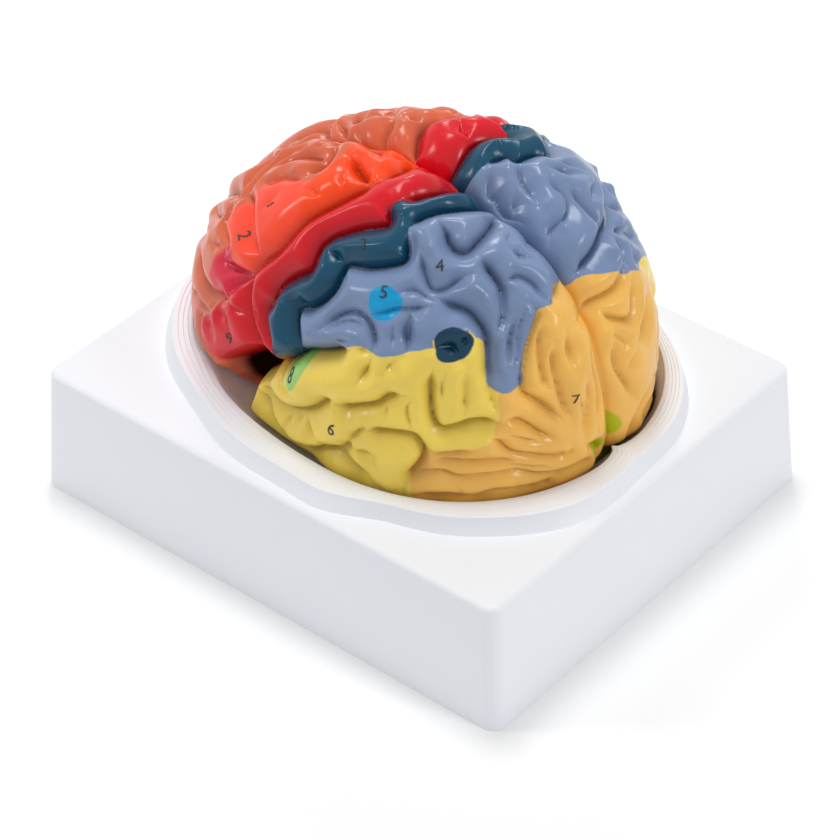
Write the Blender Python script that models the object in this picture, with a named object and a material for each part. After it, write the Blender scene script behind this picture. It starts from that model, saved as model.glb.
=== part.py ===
"""A life-size two-part brain model, painted by region, in the nest of its display base.

The brain is two solid castings that meet at the mid plane on two locating pins. The base is a thin
moulded shell, open underneath: drafted sides, a rim of shallow terraces round a nest that has the
form of the brain's underside, and a deeper well for the cerebellum and the brainstem.

Axes: +X towards the back of the brain, -Y to its left side, +Z up. The origin is on the surface that
the base stands on, under the middle of the base. Lengths are in metres, fold positions in degrees.
"""

import math

import bmesh
import bpy
import numpy as np
from mathutils import Matrix

# Smooth form of the brain: a rounded egg round its own centre, before the folds are pressed in
FRONT_REACH = 0.104
BACK_REACH = 0.074
SIDE_REACH = 0.0685
TOP_REACH = 0.090
BACK_WIDENING = 0.03
BACK_RISE = 0.12
UNDERSIDE_FRONT = 0.010
UNDERSIDE_BACK = 0.022
UNDERSIDE_STEP_X = (-0.067, -0.037)
FORM_ROUNDNESS = 2.1
UNDERSIDE_ROUNDNESS = 3.0

# Display base, as large as the brain and these margins beside it
BASE_FRONT_MARGIN = 0.0095
BASE_BACK_MARGIN = 0.0155
BASE_LEFT_MARGIN = 0.018
BASE_RIGHT_MARGIN = 0.011
BASE_LENGTH = FRONT_REACH + BACK_REACH + BASE_FRONT_MARGIN + BASE_BACK_MARGIN
BASE_WIDTH = 2 * SIDE_REACH + BASE_LEFT_MARGIN + BASE_RIGHT_MARGIN
BASE_HEIGHT = 0.050
BASE_DRAFT = 0.0031
BASE_CORNER_RADIUS = 0.0055
BASE_EDGE_RADIUS = 0.0022
BASE_WALL = 0.0025

# Rim round the nest: an egg in plan, narrower towards the front. Its waves follow the lobes of the
# brain, and each has an angle in degrees, a height and a spread in degrees
RIM_END_MARGIN = 0.003
RIM_SIDE_MARGIN = 0.004
RIM_ROUNDNESS = 2.2
RIM_NARROWING = 0.13
RIM_NARROWS_AT = 0.020
RIM_WAVES = [(-142, 0.0022, 9), (-108, 0.0034, 12), (-78, 0.0014, 7), (-62, -0.0024, 7),
             (-22, 0.0022, 9), (1, -0.0020, 8)]
RIM_HEIGHT = 0.0060
RIM_WALL_SHARE = 0.22
TERRACES = 5
TERRACE_SHARE = 0.085
TERRACE_DROP = 0.00017
NEST_MOUTH_DROP = 0.0012
NEST_CLEARANCE = 0.0010
NEST_LEVEL_SHARES = (0.86, 0.68, 0.50, 0.33, 0.18, 0.06)
NEST_NOTCH_SHARE = 0.5
RIM_HOLLOW_LEAST = 0.0008

# Place of the brain: its widest level lies a little above the top of the base
BRAIN_LIFT = 0.010
MID_PLANE_Y = BASE_LEFT_MARGIN + SIDE_REACH - BASE_WIDTH / 2
FORM_CENTRE = (BASE_FRONT_MARGIN + FRONT_REACH - BASE_LENGTH / 2, MID_PLANE_Y, BASE_HEIGHT + BRAIN_LIFT)

# Fold map of one half: it looks out sideways from this centre. The first number of a point is its
# angle towards the back, the second its angle towards the top, and 90 degrees out is the mid plane.
MAP_CENTRE = (FORM_CENTRE[0] - 0.007, MID_PLANE_Y, FORM_CENTRE[2] + 0.025)
ROLL_WIDTH_AT_POLES = 10.0
ROLL_WIDTH_ON_CROWN = 35.0
ROLL_CROWN_AT = 65.0
ROLL_CROWN_SPREAD = 28.0
ROLL_DEPTH_PER_DEGREE = 0.0008
TEMPORAL_NOTCH = (-27.0, -13.0)
TEMPORAL_NOTCH_SPREAD = 9.0
TEMPORAL_NOTCH_DEPTH = 0.006

# Folds: depth, and width from the bottom of the groove to the crest beside it
FOLD_KINDS = {
    "deep": (0.0090, 0.0070),
    "main": (0.0058, 0.0066),
    "fold": (0.0040, 0.0058),
    "soft": (0.0020, 0.0052),
}
FOLD_SHARPNESS = 0.7
FOLD_END_FADE = 0.006

# Pins between the halves: places back and up from the map's centre
MID_GAP = 0.0004
PIN_DIAMETER = 0.005
PIN_LENGTH = 0.020
PIN_CLEARANCE = 0.0003
PIN_PLACES = {"locating_pin_front": (-0.050, 0.003), "locating_pin_rear": (0.035, 0.009)}

# Cerebellum and brainstem, below the hemispheres, back and up from the form's centre. They hang in
# the well of the nest and end above its floor
WELL_FOOT = 0.004
WELL_CLEARANCE = 0.0025
WELL_DRAFT = 0.0020
WELL_CORNER_RADIUS = 0.024
WELL_FLOOR = WELL_FOOT + BASE_WALL
CEREBELLUM_PLACE = (0.034, -0.029)
CEREBELLUM_REACH = (0.029, 0.045)
CEREBELLUM_LEAVES = 6
CEREBELLUM_LEAF_DEPTH = 0.0010
CEREBELLUM_LEAF_CORNERS = 32
STEM_TOP = (-0.002, -0.010)
STEM_FOOT_X = 0.009
STEM_TOP_RADIUS = 0.012
STEM_FOOT_RADIUS = 0.0075
PONS_SWELL = 0.005
PONS_AT = 0.40

GRID = 96
HALF_FACES = 4300
RIM_POINTS = 64

# Folds of the side and the underside, the same on both halves
SIDE_FOLDS = [
    ("deep", [(-34, -15), (-27, -11), (-21, -6), (-15, -2), (-9, 1.5), (-3, 7.5), (4, 11), (14, 16.5),
              (21, 17)]),
    ("main", [(12, 62), (11.5, 59), (12.5, 55), (5, 52), (-2, 48), (-8, 43), (-9, 34), (-15, 27), (-19, 20),
              (-20.5, 14), (-17.5, 6), (-15, 0)]),
    ("main", [(-2, 65), (-10, 57), (-20, 45), (-25, 31), (-31, 24), (-31, 18), (-27, 7), (-21, -1)]),
    ("main", [(21, 54), (24, 46), (14, 41), (5, 39.5), (3, 31), (-3, 23), (-8, 19), (-6, 12), (-2.5, 8)]),
    ("fold", [(5, 39.5), (-5, 41)]),
    ("fold", [(-4, 23), (-13, 20.5)]),
    ("fold", [(0, 18), (4, 24), (9, 28), (15, 28.5), (20, 26), (23, 20), (23, 16)]),
    ("soft", [(2, 18), (6, 15)]),
    ("fold", [(30, 33), (31, 27), (31.5, 20)]),
    ("fold", [(27, 46), (31, 42), (35, 38.5), (39, 41), (44, 45)]),
    ("fold", [(26, 36), (31, 38), (36, 37), (42, 35.5), (47, 33), (51, 28), (53, 20), (53.5, 11)]),
    ("fold", [(-56, 32), (-50, 32.5), (-45, 31), (-38, 27), (-31, 25)]),
    ("main", [(-53, 17), (-47, 18), (-45, 14.5), (-38, 16.5), (-31, 20)]),
    ("fold", [(-33, 17), (-37, 13), (-38, 7), (-44, 3), (-50, 0.5), (-56, 0)]),
    ("fold", [(-32, 15), (-31, 9), (-27, 4), (-22, -1)]),
    ("fold", [(-37, 4), (-36, -3), (-43, -3), (-43, 2)]),
    ("soft", [(-47, -3), (-46, -10)]),
    ("fold", [(-47, -5), (-55, -8), (-64, -11)]),
    ("fold", [(-52, -12), (-45, -14), (-37, -13), (-29, -10)]),
    ("fold", [(-60, 25), (-57, 20), (-61, 12)]),
    ("fold", [(-52, 15), (-58, 11)]),
    ("fold", [(-39, 50), (-45, 48), (-50, 43), (-54, 39)]),
    ("main", [(-19, -13.5), (-10, -13.5), (-3, -10.5), (4, -6.5), (10, -1), (18, -1), (25, 3), (33, 8.5)]),
    ("fold", [(2, -9), (2.5, -14), (7, -17), (14, -13.5), (18, -9), (21, -5.5)]),
    ("fold", [(21, -5.5), (28, -4.5), (34.5, -4), (37.5, -9), (35, -14), (31, -19)]),
    ("fold", [(37.5, -9), (44, -9), (51, -7)]),
    ("soft", [(16, -14), (24, -13.5)]),
    ("main", [(39, 17), (39, 9), (41, 0), (44, -1), (50, 1.5), (57, 1), (63, -2), (70, -9)]),
    ("soft", [(45, 17), (44, 4)]),
    ("soft", [(33, 7), (33, -3)]),
    ("soft", [(22, 16), (20, 10), (17, 6)]),
    ("soft", [(-6, -13), (-8, -21)]),
    ("soft", [(-13, -15), (-16, -22)]),
    ("fold", [(-24, -17), (-14, -21), (-4, -24), (6, -20), (14, -16), (24, -20)]),
    ("fold", [(54, -4), (57, -9), (64, -13.5), (71, -16), (73, -12)]),
    ("fold", [(31, -19), (42, -15), (54, -16), (64, -20)]),
    ("fold", [(-30, -30), (-10, -34), (10, -33), (30, -33), (50, -33)]),
    ("soft", [(-45, -26), (-52, -35)]),
    ("fold", [(-60, -18), (-50, -22), (-40, -22)]),
    ("fold", [(-56, 32), (-65, 26), (-73, 17), (-82, 7)]),
    ("fold", [(-63, 45), (-71, 35), (-79, 23)]),
    ("fold", [(-65, 9), (-73, 3), (-82, -7)]),
    ("soft", [(-60, 24), (-68, 13), (-76, 10)]),
    ("soft", [(-66, -12), (-76, -16)]),
    ("fold", [(76, -15), (80, -24), (78, -32)]),
    ("fold", [(85, 12), (86, -2), (82, -15)]),
]
LEFT_FOLDS = [
    ("main", [(26, 82), (24, 76), (20, 69), (12, 62)]),
    ("main", [(-2, 65), (2, 69), (2, 76), (-2, 87)]),
    ("fold", [(21, 56), (23, 60), (30, 64), (38, 69)]),
    ("fold", [(28, 59), (33, 55.5), (38, 51.5), (42, 53), (45, 60), (46.5, 66)]),
    ("main", [(43, 51), (48, 47), (53, 41.5), (55, 34), (53, 27)]),
    ("fold", [(53, 42), (58, 45), (63, 42), (69, 36)]),
    ("fold", [(62, 37), (65, 33), (63, 24), (62, 10), (65, 5), (72, -4)]),
    ("soft", [(58.5, 34), (58, 19)]),
    ("soft", [(53, 61), (52, 55)]),
    ("fold", [(52, 54), (61, 51)]),
    ("fold", [(70, 24), (71, 12), (74, -5)]),
    ("soft", [(66.5, 30), (66.5, 18), (70, 7)]),
    ("soft", [(80, 12), (81, 0), (76, -15)]),
    ("fold", [(-22, 68.5), (-10, 66), (-1, 65)]),
    ("main", [(-55, 64), (-46, 69), (-38, 70), (-34, 77), (-20, 80), (-9, 77)]),
    ("fold", [(-37, 69), (-31, 64.5), (-30, 58), (-33, 55), (-39, 51)]),
    ("soft", [(-32, 54.5), (-25, 54), (-18, 56)]),
    ("soft", [(-32, 62), (-40, 60), (-47, 56)]),
    ("fold", [(-52, 61), (-53, 55), (-61, 52)]),
    ("soft", [(-30, 44), (-33, 33)]),
    ("fold", [(-33, 76), (-34, 81)]),
    ("fold", [(10, 79), (12, 87)]),
    ("soft", [(37, 69), (41, 77)]),
    ("fold", [(47, 65), (52, 71)]),
    ("soft", [(60, 56), (65, 60)]),
    ("fold", [(68, 37), (77, 42)]),
    ("soft", [(78, 27), (85, 27)]),
    ("fold", [(-58, 57), (-66, 50), (-75, 42)]),
    ("soft", [(-55, 64), (-62, 60)]),
]
RIGHT_FOLDS = [
    ("main", [(13, 86), (15, 79), (20.5, 69), (12, 62)]),
    ("main", [(-13, 87), (-13, 81), (-5, 74), (-2, 65)]),
    ("fold", [(-2, 75), (4, 77.5), (13, 79)]),
    ("soft", [(3, 73), (5, 69)]),
    ("main", [(27, 80), (29, 73), (33, 70.5), (32.5, 64), (34, 59), (25, 56), (21, 54)]),
    ("soft", [(17, 75), (29, 71.5)]),
    ("fold", [(35, 70), (43, 69), (51, 65.5)]),
    ("fold", [(44, 63), (50, 61), (55, 57), (62, 57)]),
    ("fold", [(37, 62), (43, 61.5), (42, 55)]),
    ("fold", [(48, 58), (55, 52), (59, 46), (62, 42)]),
    ("fold", [(40, 39), (50, 41.5), (63, 43), (76, 41)]),
    ("soft", [(44, 47), (55, 49)]),
    ("fold", [(63, 40), (66, 33), (69, 28)]),
    ("soft", [(59, 36), (57, 29), (53, 24)]),
    ("soft", [(51, 40), (48, 31)]),
    ("fold", [(70, 32), (76, 29), (85, 28)]),
    ("fold", [(71, 26), (74, 20), (79, 16), (82.5, 19), (83, 27)]),
    ("fold", [(69, 15), (73, 9), (81, 6.5)]),
    ("fold", [(84, 18), (83.5, 9), (86, 2)]),
    ("fold", [(62, 12), (63, 0), (70, -8)]),
    ("fold", [(-36, 81), (-28, 77), (-16, 79)]),
    ("fold", [(-31, 78), (-38, 71), (-48, 69), (-52, 61)]),
    ("soft", [(-40, 68), (-41, 58)]),
    ("fold", [(-22, 68), (-10, 66), (-4, 68)]),
    ("fold", [(-22, 68), (-31, 60), (-45, 56), (-56, 49), (-66, 38)]),
    ("fold", [(-52, 61), (-62, 56), (-71, 47), (-79, 36)]),
    ("soft", [(-50, 73), (-60, 65)]),
    ("soft", [(-30, 60), (-31, 50)]),
    ("soft", [(-13, 66), (-14, 59)]),
    ("fold", [(44, 72), (55, 69)]),
]
# Folds of the mid face: the ring round the bridge of fibres, and the two that leave it, as distances
# back and up from the map centre
MID_FOLDS = [
    [(-0.030, -0.012), (-0.040, 0.000), (-0.034, 0.016), (-0.010, 0.026), (0.018, 0.024), (0.036, 0.010),
     (0.038, -0.004)],
    [(-0.052, -0.010), (-0.062, 0.008), (-0.048, 0.030), (-0.014, 0.042), (0.022, 0.040), (0.040, 0.050)],
    [(0.038, -0.004), (0.050, 0.012), (0.056, 0.034)],
    [(0.038, -0.004), (0.056, -0.006), (0.068, -0.010)],
]
MID_FOLD_DEPTH = 0.0022
MID_FOLD_WIDTH = 0.0040


def painted(name, colour, roughness, metallic=0.0):
    """A Principled material of one colour."""
    material = bpy.data.materials.new(name)
    material.use_nodes = True
    shader = material.node_tree.nodes["Principled BSDF"]
    shader.inputs["Base Color"].default_value = (*colour, 1.0)
    shader.inputs["Roughness"].default_value = roughness
    shader.inputs["Metallic"].default_value = metallic
    return material


def add_object(name, mesh, material, edge_angle=180):
    """An object in the scene that shows this mesh in one material, with edges sharper than this
    angle, in degrees, left as edges and everything else shaded smooth."""
    mesh.polygons.foreach_set("use_smooth", [True] * len(mesh.polygons))
    mesh.set_sharp_from_angle(angle=math.radians(edge_angle))
    mesh.name = name
    mesh.materials.append(material)
    made = bpy.data.objects.new(name, mesh)
    bpy.context.scene.collection.objects.link(made)
    return made


def mesh_from(points, faces):
    """A mesh from an array of points and lists of corners, with its normals turned outwards."""
    mesh = bpy.data.meshes.new("mesh")
    mesh.from_pydata([tuple(p) for p in points], [], [tuple(int(i) for i in f) for f in faces])
    bm = bmesh.new()
    bm.from_mesh(mesh)
    bmesh.ops.remove_doubles(bm, verts=bm.verts, dist=1e-6)
    bmesh.ops.recalc_face_normals(bm, faces=bm.faces)
    bm.to_mesh(mesh)
    bm.free()
    return mesh


def ease(x):
    """0 up to 0, 1 from 1 on, and a smooth step between them."""
    x = np.clip(x, 0.0, 1.0)
    return x * x * (3 - 2 * x)


def form_value(points):
    """Under 1 inside the smooth form of the brain, 1 on its surface, and over 1 outside."""
    away = points - np.array(FORM_CENTRE)
    backward = away[..., 0] / (np.linalg.norm(away, axis=-1) + 1e-9)
    length = np.where(away[..., 0] < 0, FRONT_REACH, BACK_REACH)
    width = SIDE_REACH * (1 + BACK_WIDENING * backward)
    low, high = UNDERSIDE_STEP_X
    deeper = ease((away[..., 0] - low) / (high - low))
    under = UNDERSIDE_FRONT + (UNDERSIDE_BACK - UNDERSIDE_FRONT) * deeper
    above = away[..., 2] > 0
    height = np.where(above, TOP_REACH * (1 + BACK_RISE * backward), under)
    rounding = np.where(above, FORM_ROUNDNESS, UNDERSIDE_ROUNDNESS)
    return (
        np.abs(away[..., 0] / length) ** FORM_ROUNDNESS
        + np.abs(away[..., 1] / width) ** FORM_ROUNDNESS
        + np.abs(away[..., 2] / height) ** rounding
    )


def map_direction(back, up, side):
    """The direction in which a point of the fold map lies; side is -1 for the left half."""
    out = np.radians(np.hypot(back, up))
    turn = np.arctan2(up, back)
    return np.stack([np.sin(out) * np.cos(turn), side * np.cos(out), np.sin(out) * np.sin(turn)], -1)


def form_reach(direction):
    """How far the smooth form reaches from the map's centre, found by halving the span it lies in."""
    near = np.full(direction.shape[:-1], 0.004)
    far = np.full(direction.shape[:-1], 0.160)
    for _ in range(26):
        middle = (near + far) / 2
        inside = form_value(np.array(MAP_CENTRE) + direction * middle[..., None]) < 1
        near = np.where(inside, middle, near)
        far = np.where(inside, far, middle)
    return near


def roll_depth(back, up):
    """How far the surface has rolled down into the fissure between the halves: a quarter turn of an
    ellipse that is widest on the crown."""
    turn = np.degrees(np.arctan2(up, back))
    crown = np.exp(-(((turn - ROLL_CROWN_AT) / ROLL_CROWN_SPREAD) ** 2) / 2)
    width = ROLL_WIDTH_AT_POLES + (ROLL_WIDTH_ON_CROWN - ROLL_WIDTH_AT_POLES) * crown
    into_roll = np.clip((np.hypot(back, up) - (90 - width)) / width, 0, 1)
    return ROLL_DEPTH_PER_DEGREE * width * (1 - np.sqrt(1 - into_roll**2))


def smooth_reach(back, up, side):
    """The reach of the form at places of the fold map, with the roll into the fissure and the notch
    before the temporal lobe."""
    from_notch = np.hypot(back - TEMPORAL_NOTCH[0], up - TEMPORAL_NOTCH[1]) / TEMPORAL_NOTCH_SPREAD
    dip = TEMPORAL_NOTCH_DEPTH * np.exp(-(from_notch**2) / 2)
    return form_reach(map_direction(back, up, side)) - roll_depth(back, up) - dip


def smooth_points(back, up, side):
    """Points of the smooth form at these places of the fold map."""
    reach = smooth_reach(back, up, side)
    return np.array(MAP_CENTRE) + map_direction(back, up, side) * reach[..., None]


def curve_through(points, step):
    """A smooth curve through the points (Catmull-Rom), with a point about every step."""
    points = np.array(points, float)
    padded = np.vstack([2 * points[0] - points[1], points, 2 * points[-1] - points[-2]])
    pieces = []
    for before, start, end, after in zip(padded, padded[1:], padded[2:], padded[3:]):
        count = max(2, math.ceil(np.linalg.norm(end - start) / step))
        t = np.arange(count)[:, None] / count
        pieces.append(
            0.5
            * (
                2 * start
                + (end - before) * t
                + (2 * before - 5 * start + 4 * end - after) * t**2
                + (3 * start - before - 3 * end + after) * t**3
            )
        )
    return np.vstack([*pieces, points[-1]])


def distance_to(curve, points):
    """(distance, share of the way along the curve) of each point to a line through the curve's points."""
    starts, spans = curve[:-1], np.diff(curve, axis=0)
    lengths = np.linalg.norm(spans, axis=1)
    away = points[:, None, :] - starts
    t = np.clip((away * spans).sum(-1) / (lengths**2 + 1e-18), 0, 1)
    gaps = np.linalg.norm(away - t[..., None] * spans, axis=-1)
    nearest = gaps.argmin(1)
    rows = np.arange(len(points))
    before = np.concatenate([[0], np.cumsum(lengths)[:-1]])
    along = before[nearest] + t[rows, nearest] * lengths[nearest]
    return gaps[rows, nearest], along, lengths.sum()


def fold_profile(t):
    """1 at the bottom of a groove and 0 from its crest on: part a tight crease between two plump
    folds, part an open valley."""
    t = np.clip(t, 0, 1)
    crease = 1 - np.sqrt(t * (2 - t))
    valley = (1 - t) ** 2 * (1 + 2 * t)
    return FOLD_SHARPNESS * crease + (1 - FOLD_SHARPNESS) * valley


def fold_depth(points, folds, side):
    """How far the folds press the surface in at each point. Grooves that meet don't add up."""
    cubes = np.zeros(len(points))
    for kind, places in folds:
        depth, width = FOLD_KINDS[kind]
        back, up = curve_through(places, 1.5).T
        curve = smooth_points(back, up, side)
        low, high = curve.min(0) - width, curve.max(0) + width
        near = np.flatnonzero(((points > low) & (points < high)).all(1))
        if len(near) == 0:
            continue
        gap, along, length = distance_to(curve, points[near])
        fade = 0.35 + 0.65 * ease(np.minimum(along, length - along) / FOLD_END_FADE)
        cubes[near] += (depth * fade * fold_profile(gap / width)) ** 3
    return np.cbrt(cubes)


def disc_grid(count):
    """Places on a disc of radius 1, in rows and columns that reach its edge with no pole."""
    line = np.linspace(-1, 1, count)
    across, along = np.meshgrid(line, line)
    return across * np.sqrt(1 - along**2 / 2), along * np.sqrt(1 - across**2 / 2)


def grid_faces(count, first, turned):
    """Four corners of each cell of a count by count grid whose points start at first."""
    corner = first + np.arange(count * count).reshape(count, count)
    cells = np.stack([corner[:-1, :-1], corner[:-1, 1:], corner[1:, 1:], corner[1:, :-1]], -1)
    cells = cells.reshape(-1, 4)
    return cells[:, ::-1] if turned else cells


def hemisphere(side, own_folds):
    """The folded hemisphere of one half, closed by its flat mid face with the grooves in it."""
    across, along = disc_grid(GRID)
    back, up = 90 * across.ravel(), 90 * along.ravel()
    smooth = smooth_points(back, up, side)
    outward = map_direction(back, up, side)
    outer = smooth - outward * fold_depth(smooth, SIDE_FOLDS + own_folds, side)[:, None]
    outer[:, 1] += side * MID_GAP / 2

    share = np.hypot(across, along).ravel()
    turn = np.arctan2(along, across).ravel()
    edge_back, edge_up = 90 * np.cos(turn), 90 * np.sin(turn)
    edge = smooth_points(edge_back, edge_up, side)
    depth = fold_depth(edge, SIDE_FOLDS + own_folds, side)
    edge -= map_direction(edge_back, edge_up, side) * depth[:, None]
    inner = np.array(MAP_CENTRE) + (edge - np.array(MAP_CENTRE)) * share[:, None]
    inner[:, 1] = MID_PLANE_Y + side * (MID_GAP / 2 + mid_groove(inner) * ease((1 - share) / 0.1))

    faces = [*grid_faces(GRID, 0, False), *grid_faces(GRID, GRID * GRID, True)]
    return mesh_from(np.vstack([outer, inner]), faces)


def mid_groove(points):
    """Depth of the grooves in the mid face."""
    depth = np.zeros(len(points))
    centre = np.array(MAP_CENTRE)
    for fold in MID_FOLDS:
        line = curve_through(fold, 0.003)
        curve = centre + np.stack([line[:, 0], np.zeros(len(line)), line[:, 1]], 1)
        flat = points.copy()
        flat[:, 1] = MID_PLANE_Y
        gap = distance_to(curve, flat)[0]
        depth = np.maximum(depth, MID_FOLD_DEPTH * fold_profile(gap / MID_FOLD_WIDTH))
    return depth


def turned_solid(radii, centres, corners):
    """A solid of stacked rings: each ring has its (x, y) radii and its centre."""
    bm = bmesh.new()
    rings = []
    for (rx, ry), centre in zip(radii, centres):
        ring = []
        for k in range(corners):
            a = 2 * math.pi * k / corners
            x, y = centre[0] + rx * math.cos(a), centre[1] + ry * math.sin(a)
            ring.append(bm.verts.new((x, y, centre[2])))
        rings.append(ring)
    for lower, upper in zip(rings, rings[1:]):
        for k in range(corners):
            n = (k + 1) % corners
            bm.faces.new((lower[k], lower[n], upper[n], upper[k]))
    bm.faces.new(rings[0][::-1])
    bm.faces.new(rings[-1])
    bmesh.ops.recalc_face_normals(bm, faces=bm.faces)
    mesh = bpy.data.meshes.new("turned")
    bm.to_mesh(mesh)
    bm.free()
    return mesh


def helper(name, mesh):
    """A cutter or a shape to join, which isn't part of the object by itself."""
    made = bpy.data.objects.new(name, mesh)
    bpy.context.scene.collection.objects.link(made)
    made.hide_render = True
    made.display_type = "WIRE"
    return made


def boolean(target, other, operation):
    modifier = target.modifiers.new(f"{operation.lower()} {other.name}", "BOOLEAN")
    modifier.operation = operation
    modifier.solver = "EXACT"
    modifier.object = other
    return modifier


def cerebellum_size():
    """(x, z) of the cerebellum's middle and its reach along X, Y and Z."""
    x, z = FORM_CENTRE[0] + CEREBELLUM_PLACE[0], FORM_CENTRE[2] + CEREBELLUM_PLACE[1]
    return x, z, *CEREBELLUM_REACH, z - WELL_FLOOR - 2 * WELL_CLEARANCE


def cerebellum():
    """The whole cerebellum: an egg with level leaves, wide across and low."""
    x, z, rx, ry, rz = cerebellum_size()
    steps = 2 * CEREBELLUM_LEAVES
    radii, centres = [], []
    for k in range(steps + 1):
        a = -math.pi / 2 + math.pi * (k + 0.5) / (steps + 1)
        groove = CEREBELLUM_LEAF_DEPTH if k % 2 else 0.0
        radii.append((rx * math.cos(a) - groove, ry * math.cos(a) - groove))
        centres.append((x, MID_PLANE_Y, z + rz * math.sin(a)))
    return helper("cerebellum_form", turned_solid(radii, centres, CEREBELLUM_LEAF_CORNERS))


def stem_section(t):
    """(x, z, radius) of the brainstem, t from 0 at its foot to 1 at its top: it tapers down and back,
    with the swelling of the pons on its way."""
    radius = STEM_FOOT_RADIUS + (STEM_TOP_RADIUS - STEM_FOOT_RADIUS) * t
    radius += PONS_SWELL * math.exp(-(((1 - t - PONS_AT) / 0.16) ** 2))
    foot = WELL_FLOOR + WELL_CLEARANCE
    x = FORM_CENTRE[0] + STEM_FOOT_X + (STEM_TOP[0] - STEM_FOOT_X) * t
    return x, foot + (FORM_CENTRE[2] + STEM_TOP[1] - foot) * t, radius


def brainstem():
    """The whole brainstem."""
    sections = [stem_section(k / 12) for k in range(13)]
    radii = [(radius, radius * 1.1) for _, _, radius in sections]
    centres = [(x, MID_PLANE_Y, z) for x, z, _ in sections]
    return helper("brainstem_form", turned_solid(radii, centres, 24))


def half_space(side):
    """A block that holds everything beyond the mid gap on the other side of a half."""
    bm = bmesh.new()
    bmesh.ops.create_cube(bm, size=0.4)
    shift = MID_PLANE_Y + side * MID_GAP / 2 - side * 0.2
    bmesh.ops.translate(bm, verts=bm.verts, vec=(0, shift, 0.05))
    mesh = bpy.data.meshes.new("half_space")
    bm.to_mesh(mesh)
    bm.free()
    return helper(f"beyond_mid_plane_{'left' if side < 0 else 'right'}", mesh)


def cylinder_across(radius, length, x, z):
    """A round bar across the mid plane, centred on it."""
    bm = bmesh.new()
    turn = Matrix.Rotation(math.pi / 2, 4, "X")
    bmesh.ops.create_cone(
        bm, cap_ends=True, segments=24, radius1=radius, radius2=radius, depth=length, matrix=turn
    )
    bmesh.ops.translate(bm, verts=bm.verts, vec=(x, MID_PLANE_Y, z))
    mesh = bpy.data.meshes.new("bar")
    bm.to_mesh(mesh)
    bm.free()
    return mesh


def add_half(name, side, own_folds, material, lower_forms, bores):
    """One half of the brain: hemisphere, half cerebellum and half brainstem as one casting."""
    half = add_object(name, hemisphere(side, own_folds), material)
    thin = half.modifiers.new("fewer faces", "DECIMATE")
    thin.ratio = HALF_FACES / (4 * (GRID - 1) ** 2)
    for form in lower_forms:
        boolean(half, form, "UNION")
    boolean(half, half_space(side), "DIFFERENCE")
    for bore in bores:
        boolean(half, bore, "DIFFERENCE")
    return half


def add_pins(material):
    """The locating pins and the bores that they sit in."""
    bores = []
    for name, (back, up) in PIN_PLACES.items():
        x, z = MAP_CENTRE[0] + back, MAP_CENTRE[2] + up
        mesh = cylinder_across(PIN_DIAMETER / 2, PIN_LENGTH, x, z)
        add_object(name, mesh, material, 40)
        bore = cylinder_across(PIN_DIAMETER / 2 + PIN_CLEARANCE, PIN_LENGTH + 2 * PIN_CLEARANCE, x, z)
        bores.append(helper(name + "_bore", bore))
    return bores


def nest_outline(height, clearance, angles):
    """Points at one height of the nest, at these angles round the map's centre. The nest is the form
    of the brain moved down by the clearance and outwards by the same. Towards its mouth, at the back,
    it takes up a share of the roll into the fissure. The dip at which the form has this height is
    found by halving."""
    mouth_z, floor_z = nest_span()
    notch_share = NEST_NOTCH_SHARE * np.clip((height - floor_z) / (mouth_z - floor_z), 0, 1) ** 2
    centre = np.array(MAP_CENTRE)
    low, high = np.full(len(angles), -0.5), np.full(len(angles), 1.4)
    for _ in range(24):
        dip = (low + high) / 2
        ray = np.stack([np.cos(dip) * np.cos(angles), np.cos(dip) * np.sin(angles), -np.sin(dip)], 1)
        out = np.degrees(np.arccos(np.clip(np.abs(ray[:, 1]), 0, 1)))
        turn = np.arctan2(ray[:, 2], ray[:, 0])
        notch = notch_share * roll_depth(out * np.cos(turn), out * np.sin(turn))
        reach = form_reach(ray) - np.where(ray[:, 0] > 0, notch, 0)
        below = centre[2] - reach * np.sin(dip) < height + clearance
        high = np.where(below, dip, high)
        low = np.where(below, low, dip)
    radius = reach * np.cos(dip) + clearance
    return np.stack([centre[0] + radius * np.cos(angles), centre[1] + radius * np.sin(angles)], 1)


def nest_span():
    """Heights of the nest's mouth and of its floor."""
    mouth_z = BASE_HEIGHT + RIM_HEIGHT - NEST_MOUTH_DROP
    return mouth_z, FORM_CENTRE[2] - UNDERSIDE_BACK - NEST_CLEARANCE


def rim_outline(angles, inset):
    """The foot of the rim, or a line this far inside it: an egg centred on the base, met by rays from
    the map's centre."""
    centre = np.array(MAP_CENTRE)[:2]
    ray = np.stack([np.cos(angles), np.sin(angles)], 1)
    near, far = np.full(len(angles), 0.02), np.full(len(angles), 0.13)
    for _ in range(26):
        middle = (near + far) / 2
        x, y = (centre + ray * middle[:, None]).T
        wide = BASE_WIDTH / 2 - RIM_SIDE_MARGIN + RIM_NARROWING * np.minimum(0, x - RIM_NARROWS_AT)
        long = BASE_LENGTH / 2 - RIM_END_MARGIN
        value = np.abs(x / long) ** RIM_ROUNDNESS + np.abs(y / wide) ** RIM_ROUNDNESS
        near = np.where(value < 1, middle, near)
        far = np.where(value < 1, far, middle)
    for wave_at, wave, spread in RIM_WAVES:
        off = (np.degrees(angles) - wave_at + 180) % 360 - 180
        near = near + wave * np.exp(-((off / spread) ** 2) / 2)
    return centre + ray * (near - inset)[:, None]


def outside_of(inner, outer, least):
    """The outer outline, moved out along its rays where it comes closer to the inner one than this."""
    centre = np.array(MAP_CENTRE)[:2]
    far_in = np.linalg.norm(inner - centre, axis=1)
    far_out = np.linalg.norm(outer - centre, axis=1)
    return centre + (outer - centre) * (np.maximum(far_out, far_in + least) / far_out)[:, None]


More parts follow.
